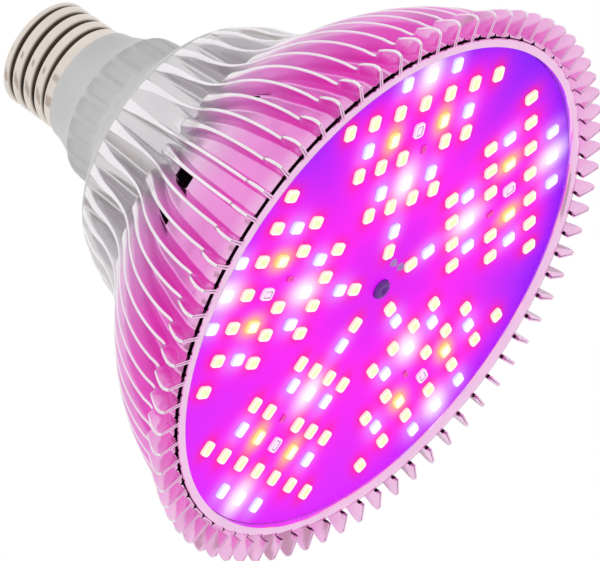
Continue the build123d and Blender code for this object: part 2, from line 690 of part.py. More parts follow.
os.makedirs("parts", exist_ok=True)
for name, make in PIECES.items():
    export_step(make(), f"parts/{name}.step")
for name, rows in PACKAGES.items():
    export_step(on_board(rows, LED_LENGTH, LED_WIDTH, LED_HEIGHT), f"parts/{name}.step")
resistors = on_board(RESISTOR_ROWS, CHIP_LENGTH, CHIP_WIDTH, CHIP_HEIGHT)
export_step(resistors, "parts/board_resistors.step")
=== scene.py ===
import json
import math
import bpy
from mathutils import Matrix, Vector

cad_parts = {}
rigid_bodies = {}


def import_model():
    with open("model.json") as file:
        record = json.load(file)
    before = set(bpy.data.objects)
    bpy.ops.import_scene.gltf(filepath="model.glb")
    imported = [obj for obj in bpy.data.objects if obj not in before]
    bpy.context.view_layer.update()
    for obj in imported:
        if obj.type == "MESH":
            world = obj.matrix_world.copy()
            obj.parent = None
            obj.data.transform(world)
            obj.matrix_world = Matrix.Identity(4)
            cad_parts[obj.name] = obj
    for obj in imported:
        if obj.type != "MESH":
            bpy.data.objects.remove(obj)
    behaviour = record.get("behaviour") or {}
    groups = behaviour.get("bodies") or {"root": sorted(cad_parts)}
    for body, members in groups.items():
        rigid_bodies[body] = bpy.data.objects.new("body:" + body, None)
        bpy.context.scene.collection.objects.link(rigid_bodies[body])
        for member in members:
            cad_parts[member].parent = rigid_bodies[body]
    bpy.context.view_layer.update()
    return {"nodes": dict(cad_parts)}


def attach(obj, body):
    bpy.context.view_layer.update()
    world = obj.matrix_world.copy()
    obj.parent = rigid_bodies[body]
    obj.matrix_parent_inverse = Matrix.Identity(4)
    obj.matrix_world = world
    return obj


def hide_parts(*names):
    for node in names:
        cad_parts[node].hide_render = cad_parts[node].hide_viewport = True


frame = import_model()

# Fin ring: one sheet of bright aluminium, 0.4 mm thick, folded into 36 tall pleats with a second pleat
# between each pair lower down. It is wrapped round the lamp and closed at one seam, and punched with a row
# of small vents. Its feet stand round the rim ring. Its pink towards the rim is painted light, the board's
# glow tinted into the metal, and the middle of each fold carries a painted highlight.
MM = 0.001
PLEATS = 36
PLEAT_TURN = math.radians(10.0)
SEAM_TURN = math.radians(276.4)
SHEET = 0.4
COLLAR_Z = 62.9
THUMB_Z = 46.0
FLOOR_FOOT_Z = 2.0
SEAM_PANEL_Z = 52.0
SEAM_FOOT_Z = 42.0
SEAM_PANEL_DROP = 0.05
VENT_TOP_Z = 35.0
VENT_FOOT_Z = 26.5
VENT_STEP_TURN = math.radians(10.0)
FIRST_VENT_TURN = math.radians(12.5)
VENTS_EACH_SIDE = 17
FOOT_INNER_RADIUS = 62.2
LEVEL_STEP = 2.1
CREST_LINE = [(62.9, 31.6), (57.0, 34.6), (51.2, 36.3), (45.4, 39.2), (39.4, 44.0), (33.2, 50.0),
              (27.2, 55.0), (21.2, 58.9), (15.6, 61.6), (10.8, 63.2), (6.6, 64.2), (6.2, 65.9),
              (4.6, 66.95), (3.0, 67.9), (1.8, 68.5), (0.9, 68.6), (0.35, 68.4), (0.0, 68.0)]
STRAIGHT_CREST_Z = 7.0
THUMB_MEET_Z = 39.4
THUMB_LINE = [(46.0, 31.4), (45.7, 34.0), (45.2, 36.2), (44.4, 38.3), (43.5, 39.8), (42.5, 41.1),
              (41.5, 42.2), (THUMB_MEET_Z, 44.0)]
FLOOR_LINE = [(62.9, 31.4), (50.0, 31.4), (46.0, 31.4), (43.5, 33.4), (39.2, 39.0), (33.2, 44.8),
              (27.2, 49.8), (21.2, 54.0), (15.6, 56.8), (10.8, 59.3), (6.6, 61.0), (4.6, 61.9),
              (1.8, 62.2), (0.0, 62.2)]
TALL_HALF_WIDTH = [(62.9, 1.45), (57.0, 0.95), (50.0, 0.5), (40.0, 0.425), (0.0, 0.425)]
LOW_HALF_WIDTH = [(62.9, 0.3), (57.0, 0.35), (50.0, 0.95), (46.0, 1.4), (42.0, 1.4), (37.0, 0.95),
                  (30.0, 0.5), (24.0, 0.425), (0.0, 0.425)]
EVEN_LEVELS_END_Z = 7.6
EXTRA_LEVELS = [46.0, 45.7, 45.2, 44.4, 43.5, 42.5, 41.5, THUMB_MEET_Z, VENT_TOP_Z, VENT_FOOT_Z,
                EVEN_LEVELS_END_Z, 6.6, 6.2, 4.6, 3.2, FLOOR_FOOT_Z, 0.9, 0.35, 0.0]
LEVEL_GAP = 0.6
FOLD_ROUND = 0.36
FOLD_SHARE = 0.85
THUMB_ROUND = 1.1
ROOT_ROUND = 0.55
ROOT_SHARE = 0.42
WALL_LEAN = 0.08
# Columns of faces across a pleat: those that a vent opens in its first or second valley, those of both
# floors, and how strong the painted highlight is from the middle of a fold down its side.
VENTED_COLUMNS = {"first": range(5, 9), "second": range(19, 23)}
FLOOR_COLUMNS = [*range(4, 10), *range(18, 24)]
FOLD_HIGHLIGHT_SIDE = [1.0, 1.0, 0.8, 0.0, 0.0, 0.0, 0.0]
FIN_CREASE = math.radians(58)


def straight(line, z):
    """Value at a height on straight runs between (height, value) pairs, highest first."""
    for (z0, v0), (z1, v1) in zip(line, line[1:]):
        if z >= z1:
            return v0 + (v1 - v0) * min(1.0, max(0.0, (z0 - z) / (z0 - z1)))
    return line[-1][1]


def flowing(line, z):
    """Value at a height on a smooth curve through (height, value) pairs, highest first."""
    last = len(line) - 1
    i = next((n for n in range(last) if z >= line[n + 1][0]), last - 1)
    (z0, v0), (z1, v1) = line[i], line[i + 1]

    def slope(k):
        before = line[max(k - 1, 0)]
        after = line[min(k + 1, last)]
        return (after[1] - before[1]) / (after[0] - before[0])

    t = min(1.0, max(0.0, (z0 - z) / (z0 - z1)))
    run = z1 - z0
    ahead = t * t * (3 - 2 * t)
    bend = run * (t * (1 - t) ** 2 * slope(i) + t * t * (t - 1) * slope(i + 1))
    return v0 + (v1 - v0) * ahead + bend


def rib_side(half_width, height, root, fold):
    """Half of a rib's section from its middle outwards, as (offset, height above the floor)."""
    top = min(fold, FOLD_SHARE * half_width)
    fall = min(top, height / 2)
    foot = min(root, height / 2)
    wall = half_width + WALL_LEAN
    cut = 1 - math.sqrt(0.5)
    return [(0.0, height), (half_width - top, height), (half_width - top * cut, height - fall * cut),
            (half_width, height - fall), (wall, foot), (wall + root * cut, foot * cut), (wall + root, 0.0)]


def around(radius, angle, z):
    """Point at a radius, an angle and a height round the lamp's axis."""
    return (radius * math.cos(angle), radius * math.sin(angle), z)


def pleat_section(z, kind):
    """Points across one pleat, from the middle of a tall rib to the middle of the next one."""
    crest = straight(CREST_LINE, z) if z < STRAIGHT_CREST_Z else flowing(CREST_LINE, z)
    floor = FOOT_INNER_RADIUS if z < FLOOR_FOOT_Z else flowing(FLOOR_LINE, z)
    if kind == "seam":
        share = min(1.0, max(0.0, (z - SEAM_FOOT_Z) / (SEAM_PANEL_Z - SEAM_FOOT_Z)))
        floor += (crest - SEAM_PANEL_DROP - floor) * share * share * (3 - 2 * share)
    low_crest = floor
    if z <= THUMB_MEET_Z:
        low_crest = crest
    elif z < THUMB_Z:
        low_crest = max(floor, min(crest, straight(THUMB_LINE, z)))
    tall = straight(TALL_HALF_WIDTH, z)
    low = straight(LOW_HALF_WIDTH, z)
    room = floor * PLEAT_TURN / 2 - tall - low - 2 * WALL_LEAN
    root = min(ROOT_ROUND, ROOT_SHARE * room)
    tall_side = rib_side(tall, crest - floor, root, FOLD_ROUND)
    low_side = rib_side(low, low_crest - floor, root, THUMB_ROUND)

    def placed(centre, offset, height):
        radius = floor + height
        return around(radius, centre + offset / radius, z)

    half = PLEAT_TURN / 2
    points = [placed(0.0, offset, height) for offset, height in tall_side]
    valley = (tall_side[-1][0] + half * floor - low_side[-1][0]) / 2
    points.append(placed(0.0, valley, 0.0))
    points += [placed(half, -offset, height) for offset, height in reversed(low_side)]
    points += [placed(half, offset, height) for offset, height in low_side[1:]]
    points.append(placed(PLEAT_TURN, -valley, 0.0))
    points += [placed(PLEAT_TURN, -offset, height) for offset, height in reversed(tall_side)]
    return points


def mesh_of(name, points, faces, smooth=True):
    """Mesh from points in millimetres and the faces between them."""
    mesh = bpy.data.meshes.new(name)
    mesh.from_pydata([[value * MM for value in point] for point in points], [], faces)
    if smooth:
        mesh.shade_smooth()
    return mesh


def mark_points(mesh, name, kind, values):
    """Stores a number or a colour at each point of a mesh."""
    layer = mesh.attributes.new(name, kind, "POINT")
    layer.data.foreach_set("color" if kind == "FLOAT_COLOR" else "value", values)


def pleat_mesh(name, kind):
    """One pleat of the sheet's outer face; the floor ends above the rim, and a vented valley has its hole."""
    levels = [COLLAR_Z - LEVEL_STEP * n for n in range(int(COLLAR_Z / LEVEL_STEP))]
    levels = [z for z in levels
              if z > EVEN_LEVELS_END_Z and min(abs(z - other) for other in EXTRA_LEVELS) > LEVEL_GAP]
    levels = sorted(levels + EXTRA_LEVELS, reverse=True)
    rows = [pleat_section(z, kind) for z in levels]
    across = len(rows[0])
    vented = VENTED_COLUMNS.get(kind, ())
    faces = []
    for i, (upper, lower) in enumerate(zip(levels, levels[1:])):
        for j in range(across - 1):
            cut_off = upper <= FLOOR_FOOT_Z and j in FLOOR_COLUMNS
            vent = j in vented and upper <= VENT_TOP_Z and lower >= VENT_FOOT_Z
            if not cut_off and not vent:
                start = i * across + j
                faces.append((start, start + across, start + across + 1, start + 1))
    mesh = mesh_of(name, [point for row in rows for point in row], faces)
    values = []
    # Painted highlight share at each point: full along the folds of the ribs, none on their walls and the
    # floors.
    for z in levels:
        low_side = FOLD_HIGHLIGHT_SIDE if z <= THUMB_Z else [0.0] * len(FOLD_HIGHLIGHT_SIDE)
        values += FOLD_HIGHLIGHT_SIDE + [0.0] + low_side[::-1] + low_side[1:] + [0.0] + FOLD_HIGHLIGHT_SIDE[::-1]
    mark_points(mesh, "fold_highlight", "FLOAT", values)
    return mesh


def set_up(node, **values):
    """Sets a node's inputs (with a capital, and an underscore for a space) and its other settings."""
    for label, value in values.items():
        if label[0].isupper():
            node.inputs[label.replace("_", " ")].default_value = value
        else:
            setattr(node, label, value)
    return node


def node_in(tree, sort, **values):
    """New node in a tree, set up."""
    return set_up(tree.nodes.new(sort), **values)


def wire(tree, *runs):
    """Links each run (node, its output, next node, its input) in a node tree."""
    for node, output, after, entry in runs:
        tree.links.new(node.outputs[output], after.inputs[entry])


def set_out_tree():
    """Geometry Nodes that set pieces out on marked points, each turned and chosen by its point."""
    tree = bpy.data.node_groups.new("set_out_round_the_lamp", "GeometryNodeTree")
    for label, sort in (("Places", "Geometry"), ("Pieces", "Collection"), ("Finish", "Material"),
                        ("Weld Distance", "Float")):
        tree.interface.new_socket(label, in_out="INPUT", socket_type="NodeSocket" + sort)
    tree.interface.new_socket("Geometry", in_out="OUTPUT", socket_type="NodeSocketGeometry")
    given = node_in(tree, "NodeGroupInput")
    result = node_in(tree, "NodeGroupOutput")
    pieces = node_in(tree, "GeometryNodeCollectionInfo", Separate_Children=True, Reset_Children=True)
    kind = node_in(tree, "GeometryNodeInputNamedAttribute", data_type="INT", Name="kind")
    turn = node_in(tree, "GeometryNodeInputNamedAttribute", data_type="FLOAT", Name="turn")
    axis = node_in(tree, "ShaderNodeCombineXYZ")
    rotation = node_in(tree, "FunctionNodeEulerToRotation")
    instance = node_in(tree, "GeometryNodeInstanceOnPoints", Pick_Instance=True)
    realize = node_in(tree, "GeometryNodeRealizeInstances")
    weld = node_in(tree, "GeometryNodeMergeByDistance")
    finish = node_in(tree, "GeometryNodeSetMaterial")
    wire(tree, (given, "Pieces", pieces, "Collection"), (given, "Places", instance, "Points"),
         (pieces, "Instances", instance, "Instance"), (kind, "Attribute", instance, "Instance Index"),
         (turn, "Attribute", axis, "Z"), (axis, "Vector", rotation, "Euler"),
         (rotation, "Rotation", instance, "Rotation"), (instance, "Instances", realize, "Geometry"),
         (realize, "Geometry", weld, "Geometry"), (given, "Weld Distance", weld, "Distance"),
         (weld, "Geometry", finish, "Geometry"), (given, "Finish", finish, "Material"),
         (finish, "Geometry", result, "Geometry"))
    return tree


SET_OUT = set_out_tree()


def put_in_scene(name, data):
    """New object in the scene with its own data."""
    thing = bpy.data.objects.new(name, data)
    bpy.context.scene.collection.objects.link(thing)
    return thing


def give_wall(piece, thickness):
    """Thickens an outer face inwards, in millimetres."""
    wall = piece.modifiers.new("wall", "SOLIDIFY")
    wall.thickness = thickness * MM
    wall.offset = -1.0


def set_out(name, meshes, places, finish, weld, wall=0.0):
    """Plain mesh object of pieces set out at places (point, turn, kind), with a wall if one is given."""
    shelf = bpy.data.collections.new(name + "_pieces")
    bpy.context.scene.collection.children.link(shelf)
    for number, mesh in enumerate(meshes):
        shelf.objects.link(bpy.data.objects.new(f"{name}_{number:02d}", mesh))
    marks = mesh_of(name + "_places", [place[0] for place in places], [], smooth=False)
    mark_points(marks, "turn", "FLOAT", [place[1] for place in places])
    mark_points(marks, "kind", "INT", [place[2] for place in places])
    maker = put_in_scene(name + "_maker", marks)
    modifier = maker.modifiers.new("set_out", "NODES")
    modifier.node_group = SET_OUT
    sockets = {item.name: item.identifier for item in SET_OUT.interface.items_tree if item.in_out == "INPUT"}
    modifier[sockets["Pieces"]] = shelf
    modifier[sockets["Finish"]] = finish
    modifier[sockets["Weld Distance"]] = weld * MM
    if wall:
        give_wall(maker, wall)
    evaluated = maker.evaluated_get(bpy.context.evaluated_depsgraph_get())
    mesh = bpy.data.meshes.new_from_object(evaluated)
    mesh.name = name
    piece = put_in_scene(name, mesh)
    bpy.data.objects.remove(maker)
    for source in list(shelf.objects):
        bpy.data.objects.remove(source)
    bpy.data.collections.remove(shelf)
    for name_left in ("turn", "kind"):
        if name_left in mesh.attributes:
            mesh.attributes.remove(mesh.attributes[name_left])
    return piece


def tint(red, green, blue):
    """Colour as written on a 0 to 255 scale, in the linear light that the shaders use."""
    def linear(level):
        share = level / 255
        return share / 12.92 if share <= 0.04045 else ((share + 0.055) / 1.055) ** 2.4
    return (linear(red), linear(green), linear(blue), 1.0)


def finish_with(name, **sockets):
    """Material with a Principled surface, its constants on the surface's own sockets."""
    material = bpy.data.materials.new(name)
    material.use_nodes = True
    surface = set_up(material.node_tree.nodes["Principled BSDF"], **sockets)
    return material, surface


def effect_group(name, inputs, outputs):
    """Empty shader node group with named inputs (name, sort, value) and outputs (name, sort)."""
    tree = bpy.data.node_groups.new(name, "ShaderNodeTree")
    for label, sort, value in inputs:
        socket = tree.interface.new_socket(label, in_out="INPUT", socket_type="NodeSocket" + sort)
        socket.default_value = value
    for label, sort in outputs:
        tree.interface.new_socket(label, in_out="OUTPUT", socket_type="NodeSocket" + sort)
    return tree, node_in(tree, "NodeGroupInput"), node_in(tree, "NodeGroupOutput")


def place_group(material, tree, **values):
    """Node that puts a group into a material with its own values."""
    return node_in(material.node_tree, "ShaderNodeGroup", node_tree=tree, **values)


def colour_mix(tree, **values):
    """Node that mixes two colours."""
    return node_in(tree, "ShaderNodeMix", data_type="RGBA", **values)


def points_in(material, name):
    """Node that reads what is stored at a mesh's points."""
    return node_in(material.node_tree, "ShaderNodeAttribute", attribute_name=name)


def bump_from(material, surface, node, output, strength, distance):
    """Bump node that feeds the surface's normal with a height."""
    tree = material.node_tree
    bump = node_in(tree, "ShaderNodeBump", Strength=strength, Distance=distance * MM)
    wire(tree, (node, output, bump, "Height"), (bump, "Normal", surface, "Normal"))


def lay_skin(material, surface, skin, strength, distance):
    """Feeds the surface with the colour, roughness and height of a skin's node."""
    wire(material.node_tree, (skin, "Color", surface, "Base Color"),
         (skin, "Roughness", surface, "Roughness"))
    bump_from(material, surface, skin, "Height", strength, distance)


SKIN_OUTPUTS = [("Color", "Color"), ("Roughness", "Float"), ("Height", "Float")]


def rolled_grain_group():
    """Fine drawn lines and faint handling marks of rolled or turned metal."""
    tree, given, result = effect_group(
        "rolled_grain",
        [("Base", "Color", (0.8, 0.8, 0.8, 1)), ("Grain Scale", "Vector", (1, 1, 1)),
         ("Marks Scale", "Float", 60.0), ("Darken", "Float", 0.1), ("Roughness From", "Float", 0.15),
         ("Roughness To", "Float", 0.3)],
        SKIN_OUTPUTS)
    where = node_in(tree, "ShaderNodeTexCoord")
    stretch = node_in(tree, "ShaderNodeVectorMath", operation="MULTIPLY")
    grain = node_in(tree, "ShaderNodeTexNoise", Scale=1.0, Detail=3.0)
    marks = node_in(tree, "ShaderNodeTexNoise", Detail=4.0, Roughness=0.62)
    spread = node_in(tree, "ShaderNodeMapRange", From_Min=0.35, From_Max=0.7)
    rough = node_in(tree, "ShaderNodeMapRange")
    shade = node_in(tree, "ShaderNodeMath", operation="MULTIPLY")
    mix = colour_mix(tree, blend_type="MULTIPLY", B=(0.35, 0.33, 0.36, 1))
    wire(tree, (where, "Object", stretch, 0), (given, "Grain Scale", stretch, 1),
         (stretch, "Vector", grain, "Vector"), (where, "Object", marks, "Vector"),
         (given, "Marks Scale", marks, "Scale"), (marks, "Fac", spread, "Value"),
         (spread, "Result", shade, 0), (given, "Darken", shade, 1), (shade, "Value", mix, "Factor"),
         (given, "Base", mix, "A"),
         (spread, "Result", rough, "Value"), (given, "Roughness From", rough, "To Min"),
         (given, "Roughness To", rough, "To Max"), (mix, "Result", result, "Color"),
         (rough, "Result", result, "Roughness"), (grain, "Fac", result, "Height"))
    return tree


ROLLED_GRAIN = rolled_grain_group()


def rolled_finish(name, strength, distance, under=None, metallic=1.0, **values):
    """Rolled, drawn or turned metal with its grain, over a changing colour where under makes one."""
    material, surface = finish_with(name, Metallic=metallic)
    grain = place_group(material, ROLLED_GRAIN, **values)
    lay_skin(material, surface, grain, strength, distance)
    if under:
        wire(material.node_tree, (*under(material), grain, "Base"))
    return material


# Heights in metres where the painted pink glow on the fins passes from one tone to the next.
PAINTED_GLOW_ZONES = [("Low", 0.002, 0.009), ("Middle", 0.014, 0.036), ("Bare", 0.034, 0.049)]


def painted_glow_fade_group():
    """Painted pink glow that fades from the rim up to bare metal, by height in metres, and a painted
    highlight on the folds.
    """
    tones = [(label, "Color", (1, 1, 1, 1)) for label in ("Rim", "Low", "Middle", "Bare", "Fold")]
    amounts = [("Highlight", "Float", 0.0), ("Unevenness", "Float", 0.003)]
    tree, given, result = effect_group("painted_glow_fade", tones + amounts, [("Color", "Color")])
    where = node_in(tree, "ShaderNodeTexCoord")
    split = node_in(tree, "ShaderNodeSeparateXYZ")
    cloud = node_in(tree, "ShaderNodeTexNoise", Scale=45.0)
    uneven = node_in(tree, "ShaderNodeMath", operation="MULTIPLY_ADD")
    wire(tree, (where, "Object", split, "Vector"), (where, "Object", cloud, "Vector"),
         (cloud, "Fac", uneven, 0), (given, "Unevenness", uneven, 1), (split, "Z", uneven, 2))
    last, output = given, "Rim"
    for label, start, end in PAINTED_GLOW_ZONES:
        share = node_in(tree, "ShaderNodeMapRange", interpolation_type="SMOOTHSTEP", From_Min=start,
                        From_Max=end)
        mix = colour_mix(tree)
        wire(tree, (uneven, "Value", share, "Value"), (share, "Result", mix, "Factor"),
             (last, output, mix, "A"), (given, label, mix, "B"))
        last, output = mix, "Result"
    # Painted highlight: the folds are lightened towards the Fold tone.
    fold_highlight = colour_mix(tree)
    wire(tree, (given, "Highlight", fold_highlight, "Factor"), (last, output, fold_highlight, "A"), (given, "Fold", fold_highlight, "B"),
         (fold_highlight, "Result", result, "Color"))
    return tree


PAINTED_GLOW_FADE = painted_glow_fade_group()


def fin_painted_glow(material):
    """Painted pink glow that fades towards the collar, and a painted highlight on the folds, as (node,
    output).
    """
    glow_tint = place_group(material, PAINTED_GLOW_FADE, Rim=tint(253, 200, 240), Low=tint(250, 152, 229),
                      Middle=tint(242, 190, 232), Bare=tint(226, 223, 226), Fold=tint(253, 248, 252),
                      Unevenness=0.004)
    wire(material.node_tree, (points_in(material, "fold_highlight"), "Fac", glow_tint, "Highlight"))
    return glow_tint, "Color"


KINDS = ["plain", "first", "second", "seam"]
pleat_kinds = [0] * PLEATS
pleat_kinds[PLEATS - 1] = KINDS.index("seam")
for side in (1, -1):
    for number in range(VENTS_EACH_SIDE):
        turn = side * (FIRST_VENT_TURN + VENT_STEP_TURN * number) - PLEAT_TURN / 2
        pleat = math.floor(turn / PLEAT_TURN)
        valley = "first" if turn / PLEAT_TURN - pleat < 0.5 else "second"
        pleat_kinds[pleat % PLEATS] = KINDS.index(valley)
fin_places = []
for pleat in range(PLEATS):
    fin_places.append(((0, 0, 0), SEAM_TURN + PLEAT_TURN * (pleat + 0.5), pleat_kinds[pleat]))
fin_meshes = [pleat_mesh("pleat_" + kind, kind) for kind in KINDS]
# Bright aluminium of the fins, with the board's glow painted into its colour as a pink that fades up from the
# rim.
fin_finish = rolled_finish("bright_aluminium_painted_glow", 0.12, 0.04, fin_painted_glow, Grain_Scale=(3500.0, 3500.0, 90.0),
                           Marks_Scale=90.0, Darken=0.12, Roughness_From=0.12, Roughness_To=0.26)
fins = set_out("folded_fin_ring", fin_meshes, fin_places, fin_finish, 0.01, wall=SHEET)
fins.data.set_sharp_from_angle(angle=FIN_CREASE)
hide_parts("fin_ring")
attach(fins, "root")

# Rim ring: narrow ring of aluminium round the circuit board, with a thin lip that closes the gap
# to the fins. Its pink is painted light, the board's glow tinted into the metal. It stands under the carrier
# plate, and the feet of the fins stand close round it.
RING_INNER = 59.75
RING_OUTER = 60.7
RING_LIP = 61.7
RING_FOOT_Z = 1.0
RING_LIP_Z = 1.45
RING_TOP_Z = 4.4
RING_EDGE = 0.15
TURNED_CREASE = math.radians(50)


def turned_mesh(name, profile, steps, closed):
    """Mesh turned round the axis from (radius, height) pairs that run with the solid on their left."""
    points = []
    starts = []
    for radius, z in profile:
        starts.append(len(points))
        points += [around(radius, math.tau * step / steps, z) for step in range(steps if radius else 1)]
    count = len(profile)
    faces = []
    for a in range(count if closed else count - 1):
        b = (a + 1) % count
        for step in range(steps):
            after = (step + 1) % steps
            corners = [starts[a] + step, starts[a] + after] if profile[a][0] else [starts[a]]
            corners += [starts[b] + after, starts[b] + step] if profile[b][0] else [starts[b]]
            if len(corners) > 2:
                faces.append(corners)
    mesh = mesh_of(name, points, faces)
    mesh.set_sharp_from_angle(angle=TURNED_CREASE)
    return mesh


def piece_of(name, mesh, material, replaced):
    """Finished piece that stands for a node of the frame."""
    mesh.materials.append(material)
    piece = put_in_scene(name, mesh)
    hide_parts(replaced)
    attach(piece, "root")
    return piece


ring_profile = [(RING_INNER, RING_FOOT_Z + RING_EDGE), (RING_INNER + RING_EDGE, RING_FOOT_Z),
                (RING_LIP - RING_EDGE, RING_FOOT_Z), (RING_LIP, RING_FOOT_Z + RING_EDGE),
                (RING_LIP, RING_LIP_Z), (RING_OUTER, RING_LIP_Z), (RING_OUTER, RING_TOP_Z),
                (RING_INNER, RING_TOP_Z)]
# Aluminium of the rim ring, with the board's glow painted into its colour as pink.
ring_finish = rolled_finish("rim_aluminium_painted_glow", 0.06, 0.02, Base=tint(255, 208, 245),
                            Grain_Scale=(60.0, 60.0, 5000.0), Marks_Scale=120.0, Darken=0.1,
                            Roughness_From=0.06, Roughness_To=0.14)
piece_of("turned_rim_ring", turned_mesh("turned_rim_ring", ring_profile, 240, True), ring_finish,
         "rim_ring")

# Carrier plate: blanked aluminium disc behind the circuit board that takes its heat to the fins.
# It lies on the board and the rim ring and keeps its rolled grain and the marks of the press.
plate_finish = rolled_finish("blanked_aluminium_plate", 0.2, 0.03, Base=tint(205, 205, 208),
                             Grain_Scale=(40.0, 3000.0, 3000.0), Marks_Scale=80.0, Darken=0.3,
                             Roughness_From=0.3, Roughness_To=0.5)


def refinish(node, material):
    """Gives a node of the frame its material."""
    mesh = frame["nodes"][node].data
    mesh.materials.clear()
    mesh.materials.append(material)


refinish("carrier_plate", plate_finish)

# LED board: round aluminium-core circuit board with a white printed coating over its lit face. The
# coating's colour is painted light: it is given a glow, violet to magenta between the light sources with a
# halo of each source's colour round it, for their light falling on it, and its own colour is kept near black.
BOARD_RADIUS = 59.6
BOARD_FACE_Z = 2.8
COATING = 0.04
COATING_RINGS = 104
PETALS = 5
PETAL_TURN = math.radians(32.5)
PATTERN_SHIFT = 1.0
PACKAGE_ROWS = {
    "red": [(0.160, [0.0]), (0.376, [-0.172, -0.058, 0.058, 0.172]),
            (0.582, [-0.284, -0.170, -0.057, 0.170, 0.284]),
            (0.796, [-0.392, -0.265, -0.1325, 0.0, 0.1325, 0.265, 0.392])],
    "blue": [(0.250, [0.0]), (0.459, [-0.1325, 0.1325]), (0.682, [-0.265, 0.265]), (0.915, [-0.131, 0.131])],
    "white": [(0.459, [0.0]), (0.915, [0.0])],
    "warm": [(0.682, [-0.132, 0.132])],
    "infrared": [(0.682, [0.0])],
    "resistor": [(0.582, [0.057])],
}


def package_places(colour):
    """Places of one kind of package on the board as (point, turn, kind), petal by petal."""
    places = []
    for petal in range(PETALS):
        turn = PETAL_TURN + math.tau * petal / PETALS
        for reach, offsets in PACKAGE_ROWS[colour]:
            for offset in offsets:
                along, aside = reach * BOARD_RADIUS, offset * BOARD_RADIUS
                x = along * math.cos(turn) - aside * math.sin(turn)
                y = along * math.sin(turn) + aside * math.cos(turn) - PATTERN_SHIFT
                places.append(((x, y, BOARD_FACE_Z), turn, 0))
    return places


def light(red, green, blue):
    """Light of a colour on a 0 to 255 scale, which can be added up."""
    return Vector(tint(red, green, blue)[:3])


HALOS = {
    "red": (light(255, 0, 100), 2.1, 1.0),
    "blue": (light(222, 140, 255), 2.6, 0.85),
    "white": (light(255, 232, 255), 3.1, 1.25),
    "warm": (light(255, 190, 100), 2.3, 1.2),
    "infrared": (light(235, 0, 150), 2.4, 0.5),
}
HALO_WIDTH = 0.8
HALO_LIMIT = 120.0
LONG_SHARE = 0.75
VIOLET = light(112, 0, 250)
ROSY_VIOLET = light(214, 26, 254)
ROSY_MIDDLE = 0.45
ROSY_SLOPE = 0.75
MAGENTA = light(248, 16, 244)
MAGENTA_REACH = 7.0
MAGENTA_LIMIT = 420.0
MAGENTA_FULL = 2.6
MAGENTA_CURVE = 1.5
MAGENTA_WEIGHTS = {"red": 1.0, "warm": 0.5, "infrared": 0.5, "white": 0.5, "blue": 0.0}


def board_glow(x, y, sources):
    """Light that leaves the coating at a point: violet, magenta near red sources, and the nearest halos."""
    warmth = 0.0
    halo = Vector((0.0, 0.0, 0.0))
    for colour, px, py, cos_t, sin_t in sources:
        dx, dy = x - px, y - py
        far = dx * dx + dy * dy
        if far > MAGENTA_LIMIT:
            continue
        warmth += math.exp(-far / (2 * MAGENTA_REACH ** 2)) * MAGENTA_WEIGHTS[colour]
        if far > HALO_LIMIT:
            continue
        tone, reach, level = HALOS[colour]
        along = (dx * cos_t + dy * sin_t) * LONG_SHARE
        aside = -dx * sin_t + dy * cos_t
        near = math.exp(-(along * along + aside * aside) / (2 * (reach * HALO_WIDTH) ** 2))
        halo += (tone - halo) * min(1.0, near * level)
    share = min(1.0, warmth / MAGENTA_FULL) ** MAGENTA_CURVE
    # Painted light: the coating glows pinker towards -x, as if more red light falls on that side.
    rosy = min(1.0, max(0.0, ROSY_MIDDLE - ROSY_SLOPE * x / BOARD_RADIUS))
    base = VIOLET.lerp(ROSY_VIOLET, rosy).lerp(MAGENTA, share)
    return base * (1 - min(1.0, max(halo))) + halo


def coating_mesh():
    """Thin disc over the lit face in even rings, with the glow stored at its points."""
    sources = []
    for colour in ("red", "infrared", "blue", "warm", "white"):
        for (x, y, z), turn, kind in package_places(colour):
            sources.append((colour, x, y, math.cos(turn), math.sin(turn)))
    face_z = BOARD_FACE_Z - COATING
    points = [(0.0, 0.0, face_z)]
    starts = [0]
    for ring in range(1, COATING_RINGS + 1):
        starts.append(len(points))
        radius = BOARD_RADIUS * ring / COATING_RINGS
        points += [around(radius, math.tau * step / (6 * ring), face_z) for step in range(6 * ring)]
    faces = []
    for ring in range(1, COATING_RINGS + 1):
        inner, outer = max(1, 6 * (ring - 1)), 6 * ring
        for sixth in range(6):
            for step in range(ring):
                a = starts[ring] + sixth * ring + step
                b = starts[ring] + (sixth * ring + step + 1) % outer
                c = starts[ring - 1] + (sixth * (ring - 1) + step) % inner
                faces.append((a, c, b))
                if step < ring - 1:
                    d = starts[ring - 1] + (sixth * (ring - 1) + step + 1) % inner
                    faces.append((c, d, b))
    mesh = mesh_of("board_coating", points, faces, smooth=False)
    values = []
    for x, y, z in points:
        values += [*board_glow(x, y, sources), 1.0]
    mark_points(mesh, "glow", "FLOAT_COLOR", values)
    return mesh


def fine_grit(material, surface, scale, strength, distance):
    """Even fine roughness in the surface's height."""
    where = node_in(material.node_tree, "ShaderNodeTexCoord")
    grit = node_in(material.node_tree, "ShaderNodeTexNoise", Scale=scale)
    wire(material.node_tree, (where, "Object", grit, "Vector"))
    bump_from(material, surface, grit, "Fac", strength, distance)


